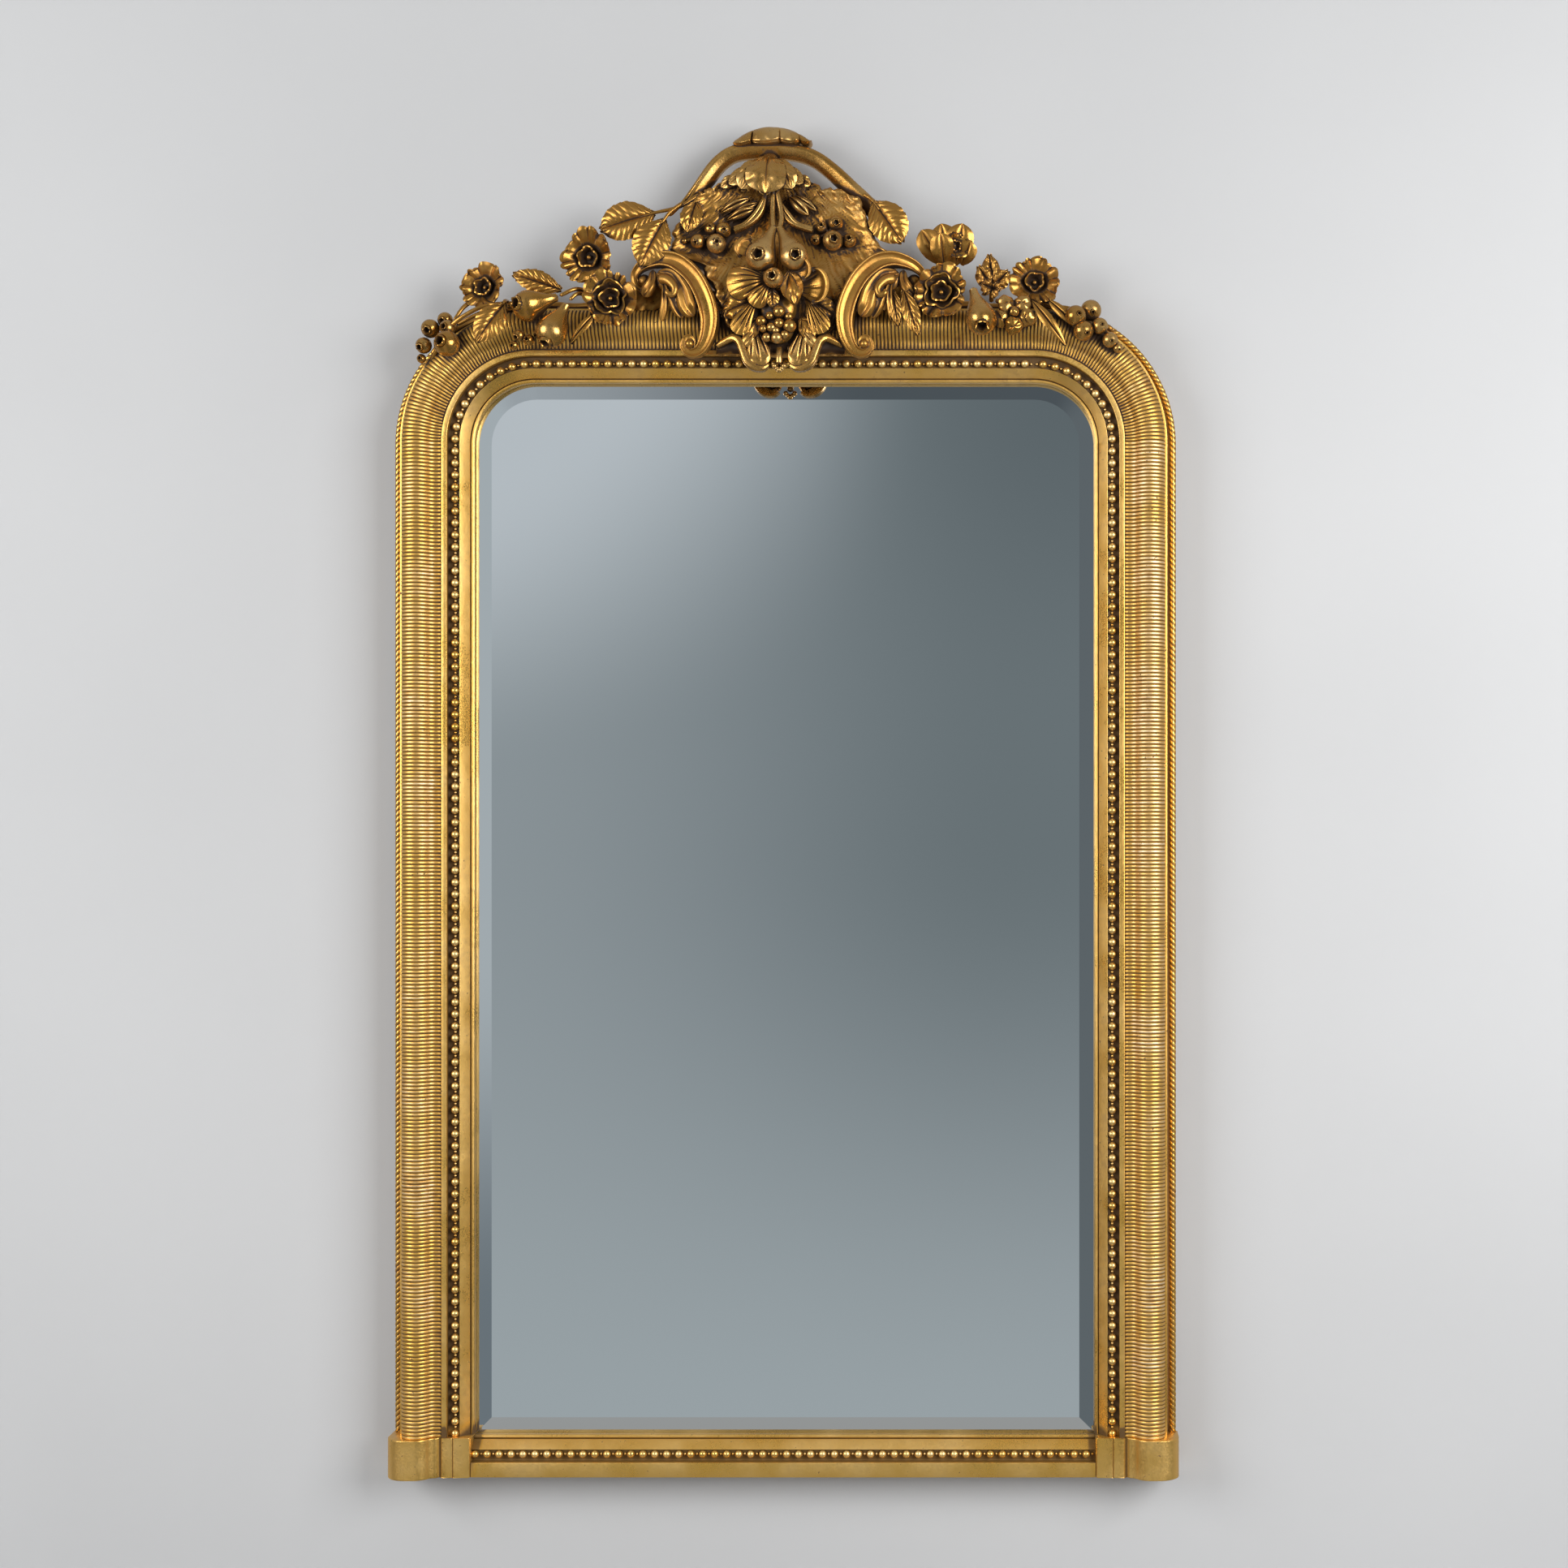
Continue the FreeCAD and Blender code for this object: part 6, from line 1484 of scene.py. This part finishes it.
    def stems(self, word, side, sizes):
        """The main stem in the gutter by the rope, with short branches to what grows from it."""
        inner = (ARC_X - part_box("cartouche")[1].x) / MM - 4
        places = np.linspace(inner, self.REACH[word], 40)
        wander = 1.2 * np.sin(places * 0.09)
        path = [along_edge(side, a, -6 + w, 35 + 0.6 * w) for a, w in zip(places, wander)]
        solids = [tube(path, sizes.stem_radius, 12, 0.7 * sizes.stem_radius, 160, 0.02)]
        return solids + [tube(each(branch), 3.2 * MM, 10, 2.4 * MM) for branch in self.BRANCHES[word]]

    def flowers(self, word):
        solids = []
        for place, *look in self.FLOWERS[word]:
            solids += flower(at(*place), *look)
        return solids + (self.tulip_and_tuft() if word == "right" else [])

    def tulip_and_tuft(self):
        solids = []
        carving = dict(widest=0.6, point=3.0, veins=0, ruffle=0.12, fold=0.2, depth=0.2, thick=3)
        carving.update(arch=0.14, curl=-0.12, grain=(34, 25))
        for i, (base, tip, width) in enumerate(self.TULIP):
            solids.append(leaf(at(*base), at(*tip), width, seed=14 + i, **carving))
        carving = dict(widest=0.52, point=1.9, veins=3, ruffle=0.35, fold=0.35, thick=3, depth=1.4)
        for i, (x, rise) in enumerate(self.TUFT):
            solids.append(leaf(at(269, 8, 68), at(x, rise, 80 - 4 * (i % 2)), 25, seed=24 + i, **carving))
        return solids

    def fruit(self, word):
        solids = []
        for i, (body, neck, radius, facing) in enumerate(self.PEARS[word]):
            solids += pear(at(*body), at(*neck), radius, facing, 0.4, 30 + i)
        return solids

    def berries(self, word, side):
        solids = []
        for i, (*place, radius) in enumerate(self.BERRIES[word]):
            aside = 0.45 * side * (0.4 + 0.6 * math.sin(1 + 2 * i) ** 2)
            facing = (aside, -1, -0.25 + 0.3 * math.cos(2 * i))
            solids += berry(at(*place), radius, facing, self.EYES[word], 130 + i)
        solids.append(tube(each((self.BERRIES[word][0][:3], self.BUNCH_FOOT[word])), 2.6 * MM, 8))
        if word == "right":
            for i, (*place, radius) in enumerate(self.BLOSSOMS):
                solids.append(self.blossom(at(*place), radius, 150 + i))
        return solids

    def blossom(self, place, radius, seed):
        """One cupped round petal of a blossom."""
        turn = np.radians(np.linspace(-80, 84, 16))
        profile = np.stack([np.cos(turn), 0.62 * np.sin(turn)], axis=1) * radius * MM
        random = np.random.default_rng(seed)
        start = random.random() * TURN

        def shape(out, ahead, angle):
            ruffle = 0.06 * np.cos(3 * angle + start) + 0.04 * np.cos(7 * angle)
            return out * (1 + ruffle), ahead - 0.22 * radius * MM * np.cos(angle + start) ** 8 * (ahead > 0)

        return turned(profile, place, (random.random() - 0.5, -1, random.random() - 0.5), 40, shape)

    def leaves(self, word):
        solids = []
        carving = dict(depth=1.5, fold=0.16, ruffle=0.04, thick=3.4, grain=(64, 25))
        for i, (base, tip, width, widest, point, veins, teeth, arch) in enumerate(self.LEAVES[word]):
            look = dict(widest=widest, point=point, veins=veins, teeth=teeth, arch=arch, seed=170 + i)
            solids.append(leaf(at(*base), at(*tip), width, **look, **carving))
        for places, radius, end_radius in self.STALKS[word]:
            solids.append(tube(each(places), radius * MM, 10, end_radius * MM))
        return solids


class MIRROR_OT_antique(bpy.types.Operator):
    """Mark the hollows of the carving and the moulding, where the dark wash stays with painted shade, and
    paint the crest's shadow on the reeding
    """

    bl_idname = "mirror.antique"
    bl_label = "Antique the hollows"

    reach: length("Reach", 22, "How far a hollow is felt for")
    lift: length("Lift", 0.35, "How far over the surface it is felt from")
    crest_shadow_drop: length("Crest drop", 160, "How far below the top the crest shades the reeding")
    ground_shade: share("Ground shade", 0.12, "Extra wash on the cartouche's ground")
    open_share: share("Open", 0.28, "Cover that a place may have and still count as open")
    rays: IntProperty(name="Rays", description="Directions felt from each place", default=14, min=4)

    QUICK_RAYS = 6
    REEDING_RAYS = 5
    COVER_GAIN, REEDING_GAIN, DIP_GAIN = 2.6, 1.7, 2.4
    DIP_LIMITS = (-0.25, 0.6)

    def execute(self, context):
        gilded = [p for p in context.scene.objects if p.type == "MESH" and "hollow" in p.data.attributes]
        pieces = [p for p in gilded if not p.name.startswith(("reeding", "rope", "pearls"))]
        points, faces, count = [], [], 0
        for piece in pieces:
            mesh = piece.data
            points.append(vertex_values(mesh, "co"))
            faces += [[i + count for i in polygon.vertices] for polygon in mesh.polygons]
            count += len(mesh.vertices)
        tree = BVHTree.FromPolygons(np.concatenate(points).tolist(), faces)
        ways = self.hemisphere(self.rays)
        for piece, places in zip(pieces, points):
            self.feel(piece.data, places, tree, ways)
        # Painted shadow of the crest on the reeding below it
        for piece in gilded:
            if piece.name.startswith("reeding"):
                self.paint_crest_shadow(piece.data, tree, self.hemisphere(self.REEDING_RAYS))
        return {"FINISHED"}

    def hemisphere(self, count):
        """Even directions over a half ball, as (aside, aside, ahead)."""
        i = np.arange(count) + 0.5
        ahead = np.sqrt(1 - 0.92 * i / count)
        turn = i * 2.399963  # the golden angle
        out = np.sqrt(1 - ahead**2)
        return np.stack([out * np.cos(turn), out * np.sin(turn), ahead], axis=1)

    def cover(self, places, normals, tree, ways):
        """How closely other carving stands over each place, which paints shade into the dark wash there."""
        helper = np.where(np.abs(normals[:, :1]) < 0.8, (1.0, 0.0, 0.0), (0.0, 1.0, 0.0))
        first = np.cross(normals, helper)
        first /= np.maximum(np.linalg.norm(first, axis=1, keepdims=True), 1e-9)
        second = np.cross(normals, first)
        starts = (places + normals * self.lift).tolist()
        found = np.zeros(len(places))
        cast, reach = tree.ray_cast, self.reach
        for a, b, c in ways:
            directions = a * first + b * second + c * normals
            for i, (start, way) in enumerate(zip(starts, directions.tolist())):
                far = cast(start, way, reach)[3]
                if far is not None:
                    found[i] += (1 - far / reach) ** 0.7 * (0.6 + 0.4 * c)
        return found / (0.8 * len(ways))

    def paint_crest_shadow(self, mesh, tree, ways):
        """Painted shadow: darken the reeding's colour where the crest stands over it."""
        places, normals = vertex_values(mesh, "co"), vertex_values(mesh, "normal")
        near = places[:, 2] > TOP - self.crest_shadow_drop
        hollow = np.empty(len(places), np.float32)
        mesh.attributes["hollow"].data.foreach_get("value", hollow)
        hollow[near] += self.REEDING_GAIN * self.cover(places[near], normals[near], tree, ways)
        mesh.attributes["hollow"].data.foreach_set("value", hollow)

    def feel(self, mesh, places, tree, ways):
        """Mark a carved piece by what stands over each place and by how each lies among its neighbours."""
        normals = vertex_values(mesh, "normal")
        hollow = self.COVER_GAIN * self.cover(places, normals, tree, ways) - self.open_share
        hollow = hollow + np.clip(self.DIP_GAIN * self.dip(mesh, places, normals), *self.DIP_LIMITS)
        hollow = hollow + (self.ground_shade if mesh.name.startswith("cartouche") else 0)
        mesh.attributes["hollow"].data.foreach_set("value", hollow.astype(np.float32))

    def dip(self, mesh, places, normals):
        """How far each place lies below its neighbours."""
        ends = np.empty(len(mesh.edges) * 2, np.int32)
        mesh.edges.foreach_get("vertices", ends)
        first, second = ends.reshape(-1, 2).T
        way = places[second] - places[first]
        way /= np.maximum(np.linalg.norm(way, axis=1, keepdims=True), 1e-9)
        total, count = np.zeros(len(places)), np.zeros(len(places))
        for here, sign in ((first, 1), (second, -1)):
            np.add.at(total, here, sign * np.einsum("ij,ij->i", way, normals[here]))
            np.add.at(count, here, 1)
        return total / np.maximum(count, 1)


def vertex_values(mesh, kind):
    """Places or normals of a mesh's points."""
    values = np.empty(len(mesh.vertices) * 3, np.float32)
    mesh.vertices.foreach_get(kind, values)
    return values.reshape(-1, 3).astype(float)


# Pieces whose construction shape is already right keep it and get a finish


def wood(name, tone, grain_scale):
    material, tree, surface = new_material(name)
    place = place_of(tree)
    grain = noise(tree, place, grain_scale, 6, (1.0, 1.0, 0.06))
    figure = noise(tree, place, 6, 3, (1.0, 1.0, 0.2))
    streak = blended(tree, ranged(tree, grain, 0.35, 0.7), dimmed(tone, 0.45), tuple(tone))
    figured = blended(tree, ranged(tree, figure, 0.35, 0.7, 0, 0.6), streak, dimmed(tone, 1.25))
    tree.links.new(figured, surface.inputs["Base Color"])
    tree.links.new(ranged(tree, grain, 0.3, 0.7, 0.75, 0.55), surface.inputs["Roughness"])
    raised(tree, surface, grain, 0.25 * MM)
    return material


def steel(name, tone):
    material, tree, surface = new_material(name)
    place = place_of(tree)
    spots = noise(tree, place, 160, 5)
    scratches = noise(tree, place, 900, 3, (1.0, 1.0, 0.1))
    spotted = blended(tree, ranged(tree, spots, 0.45, 0.75), tuple(tone), dimmed(tone, 0.4))
    tree.links.new(spotted, surface.inputs["Base Color"])
    surface.inputs["Metallic"].default_value = 1.0
    tree.links.new(ranged(tree, spots, 0.3, 0.7, 0.3, 0.55), surface.inputs["Roughness"])
    raised(tree, surface, scratches, 0.05 * MM)
    return material


def silvered(name, tone):
    """Silvered glass: a clean mirror with the faintest haze."""
    material, tree, surface = new_material(name)
    haze = noise(tree, place_of(tree), 3, 4)
    hazed = blended(tree, ranged(tree, haze, 0.3, 0.7, 0, 0.05), tuple(tone), (0.7, 0.73, 0.75, 1))
    tree.links.new(hazed, surface.inputs["Base Color"])
    surface.inputs["Metallic"].default_value = 1.0
    tree.links.new(ranged(tree, haze, 0.3, 0.7, 0.012, 0.03), surface.inputs["Roughness"])
    return material


class MIRROR_OT_back_and_glass(bpy.types.Operator):
    """Finish the glass, the carcass, the backboards and the hangers"""

    bl_idname = "mirror.back_and_glass"
    bl_label = "Glass and back"

    CARCASS = ("stile_left", "stile_right", "top_rail", "bottom_rail", "glass_wedges")
    CREST_BACK = ("crest_board", "crest_dowels")
    BOARDS = ("backboard_bottom", "backboard_middle", "backboard_top")
    HANGERS = ("hanger_strap_left", "hanger_strap_right", "hanger_ring_left", "hanger_ring_right")

    def execute(self, context):
        looks = context.scene.mirror_gilding
        finishes = (
            (silvered("silvered_glass", looks.silver), ("mirror_glass",)),
            (wood("softwood", looks.softwood, 55), self.CARCASS + self.CREST_BACK),
            (wood("backboards", looks.boards, 40), self.BOARDS),
            (steel("plated_steel", looks.steel), ("hanger_screws", "backboard_screws", *self.HANGERS)),
        )
        for finish, nodes in finishes:
            for node in nodes:
                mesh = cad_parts[node].data
                mesh.materials.clear()
                mesh.materials.append(finish)
        return {"FINISHED"}


class MIRROR_OT_studio(bpy.types.Operator):
    """Set up the backdrop, the floor, soft light and the camera"""

    bl_idname = "mirror.studio"
    bl_label = "Studio"

    # Place and aim of each soft light, in metres
    KEY = ((2.3, -2.3, 1.5), (0.1, 0.0, 0.7))
    FILL = ((-2.5, -2.2, 1.5), (-0.1, 0.0, 0.7))
    WALL_REACH = 6.0
    WALL_GAP = 1.5 * MM
    CLEAR = 30 * MM  # the back of the frame, so close to the wall, still gets the room's light
    PALE = (0.4, 0.4, 0.4, 1)

    def execute(self, context):
        looks = context.scene.mirror_studio
        context.scene.view_settings.view_transform = "Standard"
        self.backdrop(looks)
        self.world(context.scene)
        self.softbox("key_light", looks.key, looks.light_size, *self.KEY)
        self.softbox("fill_light", looks.fill, looks.light_size, *self.FILL)
        lens = bpy.data.cameras.new("camera")
        lens.lens = looks.lens
        lens.sensor_width = looks.sensor
        lens.shift_x = looks.shift_x
        lens.shift_y = looks.shift_y
        camera = bpy.data.objects.new("camera", lens)
        camera.location = (looks.camera_x, -looks.camera_y, looks.camera_z)
        camera.rotation_euler = (math.pi / 2, 0, 0)
        context.scene.collection.objects.link(camera)
        context.scene.camera = camera
        return {"FINISHED"}

    def backdrop(self, looks):
        """A wall and a floor that reflections, the back and anything close behind see through."""
        material, tree, surface = new_material("pale_backdrop")
        tint = ranged(tree, noise(tree, place_of(tree), 1.3, 2), 0.3, 0.7)
        tinted = blended(tree, tint, tuple(looks.wall), dimmed(looks.wall, 0.95))
        tree.links.new(tinted, surface.inputs["Base Color"])
        surface.inputs["Roughness"].default_value = 0.9
        surface.inputs["Specular IOR Level"].default_value = 0.1
        clear = tree.nodes.new("ShaderNodeBsdfTransparent")
        sides = tree.nodes.new("ShaderNodeMixShader")
        geometry = tree.nodes.new("ShaderNodeNewGeometry")
        path = tree.nodes.new("ShaderNodeLightPath")
        unseen = number(tree, "MAXIMUM", geometry.outputs["Backfacing"], path.outputs["Is Glossy Ray"])
        near = number(tree, "LESS_THAN", path.outputs["Ray Length"], self.CLEAR)
        tree.links.new(number(tree, "MAXIMUM", unseen, near), sides.inputs["Fac"])
        tree.links.new(surface.outputs["BSDF"], sides.inputs[1])
        tree.links.new(clear.outputs["BSDF"], sides.inputs[2])
        tree.links.new(sides.outputs["Shader"], tree.nodes["Material Output"].inputs["Surface"])
        low, reach, gap = -looks.floor_drop, self.WALL_REACH, self.WALL_GAP
        walls = {
            "wall": [(-reach, gap, low), (reach, gap, low), (reach, gap, reach), (-reach, gap, reach)],
            "floor": [(-reach, -reach, low), (reach, -reach, low), (reach, gap, low), (-reach, gap, low)],
        }
        for name, corners in walls.items():
            mesh = bpy.data.meshes.new(name)
            mesh.from_pydata(corners, [], [(0, 1, 2, 3)])
            mesh.materials.append(material)
            plane = bpy.data.objects.new(name, mesh)
            bpy.context.scene.collection.objects.link(plane)

    def world(self, scene):
        """A grey room, paler above and to the left, that the mirror shows."""
        scene.world = bpy.data.worlds.new("room")
        scene.world.use_nodes = True
        tree = scene.world.node_tree
        way = tree.nodes.new("ShaderNodeTexCoord").outputs["Generated"]
        parts = tree.nodes.new("ShaderNodeSeparateXYZ")
        tree.links.new(way, parts.inputs["Vector"])
        across, depth, up = (parts.outputs[axis] for axis in "XYZ")
        glow = ranged(tree, number(tree, "MULTIPLY", across, up), -0.006, -0.032)
        shade = number(tree, "MULTIPLY", ranged(tree, up, 0.05, 0.2), ranged(tree, across, -0.1, 0.02))
        ceiling = blended(
            tree, ranged(tree, across, -0.22, -0.06), (0.38, 0.41, 0.43, 1), (0.085, 0.1, 0.11, 1)
        )
        aside = blended(tree, ranged(tree, up, -0.05, -0.2), (0.44, 0.48, 0.5, 1), (0.17, 0.2, 0.22, 1))
        grey = (0.17, 0.2, 0.21, 1)
        for part, tone in (
            (ranged(tree, across, 0.0, -0.24), (0.31, 0.345, 0.36, 1)),  # paler to the left
            (glow, (0.56, 0.595, 0.62, 1)),
            (shade, (0.13, 0.155, 0.165, 1)),
            (ranged(tree, up, 0.0, -0.26), (0.39, 0.43, 0.445, 1)),  # paler below
            (ranged(tree, up, 0.2, 0.27), ceiling),
            (ranged(tree, up, -0.28, -0.36), (0.36, 0.36, 0.35, 1)),  # floor
            (ranged(tree, across, -0.25, -0.31), aside),
            (ranged(tree, across, 0.06, 0.13), (0.13, 0.15, 0.16, 1)),  # right wall
            (ranged(tree, across, -0.38, -0.6), (0.12, 0.12, 0.12, 1)),  # far left
            (ranged(tree, up, 0.4, 0.9), self.PALE),
            (ranged(tree, depth, -0.2, 0.25), self.PALE),  # behind the mirror
        ):
            grey = blended(tree, part, grey, tone)
        background = tree.nodes["Background"]
        tree.links.new(grey, background.inputs["Color"])
        background.inputs["Strength"].default_value = 1.0

    def softbox(self, name, watts, size, place, target):
        light = bpy.data.lights.new(name, "AREA")
        light.shape = "SQUARE"
        light.size = size
        light.energy = watts
        lamp = bpy.data.objects.new(name, light)
        lamp.location = place
        way = unit(np.subtract(target, place))
        lamp.rotation_euler = (math.acos(-way[2]), 0, math.atan2(way[1], way[0]) - math.pi / 2)
        bpy.context.scene.collection.objects.link(lamp)


class MIRROR_PT_sidebar(bpy.types.Panel):
    """Lists the mirror's pieces and sizes"""

    bl_idname = "MIRROR_PT_sidebar"
    bl_label = "Overmantel mirror"
    bl_space_type = "VIEW_3D"
    bl_region_type = "UI"
    bl_category = "Mirror"

    def draw(self, context):
        for operator in STEPS:
            self.layout.operator(operator.bl_idname)
        for name, group in SETTINGS.items():
            settings = getattr(context.scene, name)
            for field in group.__annotations__:
                self.layout.prop(settings, field)


SETTINGS = {
    "mirror_moulding": MouldingSizes,
    "mirror_crest": CrestSizes,
    "mirror_gilding": GildingLooks,
    "mirror_studio": StudioLooks,
}
STEPS = (
    MIRROR_OT_moulding,
    MIRROR_OT_reeding,
    MIRROR_OT_pearls,
    MIRROR_OT_rope,
    MIRROR_OT_base,
    MIRROR_OT_cartouche,
    MIRROR_OT_centre,
    MIRROR_OT_scrolls,
    MIRROR_OT_garlands,
    MIRROR_OT_antique,
    MIRROR_OT_back_and_glass,
    MIRROR_OT_studio,
)


def register():
    for cls in (*SETTINGS.values(), *STEPS, MIRROR_PT_sidebar):
        bpy.utils.register_class(cls)
    for name, group in SETTINGS.items():
        setattr(bpy.types.Scene, name, PointerProperty(type=group))


def unregister():
    for name in SETTINGS:
        delattr(bpy.types.Scene, name)
    for cls in (MIRROR_PT_sidebar, *reversed(STEPS), *SETTINGS.values()):
        bpy.utils.unregister_class(cls)


def main():
    register()
    for step in STEPS:
        family, name = step.bl_idname.split(".")
        getattr(getattr(bpy.ops, family), name)()


if __name__ == "__main__":
    main()
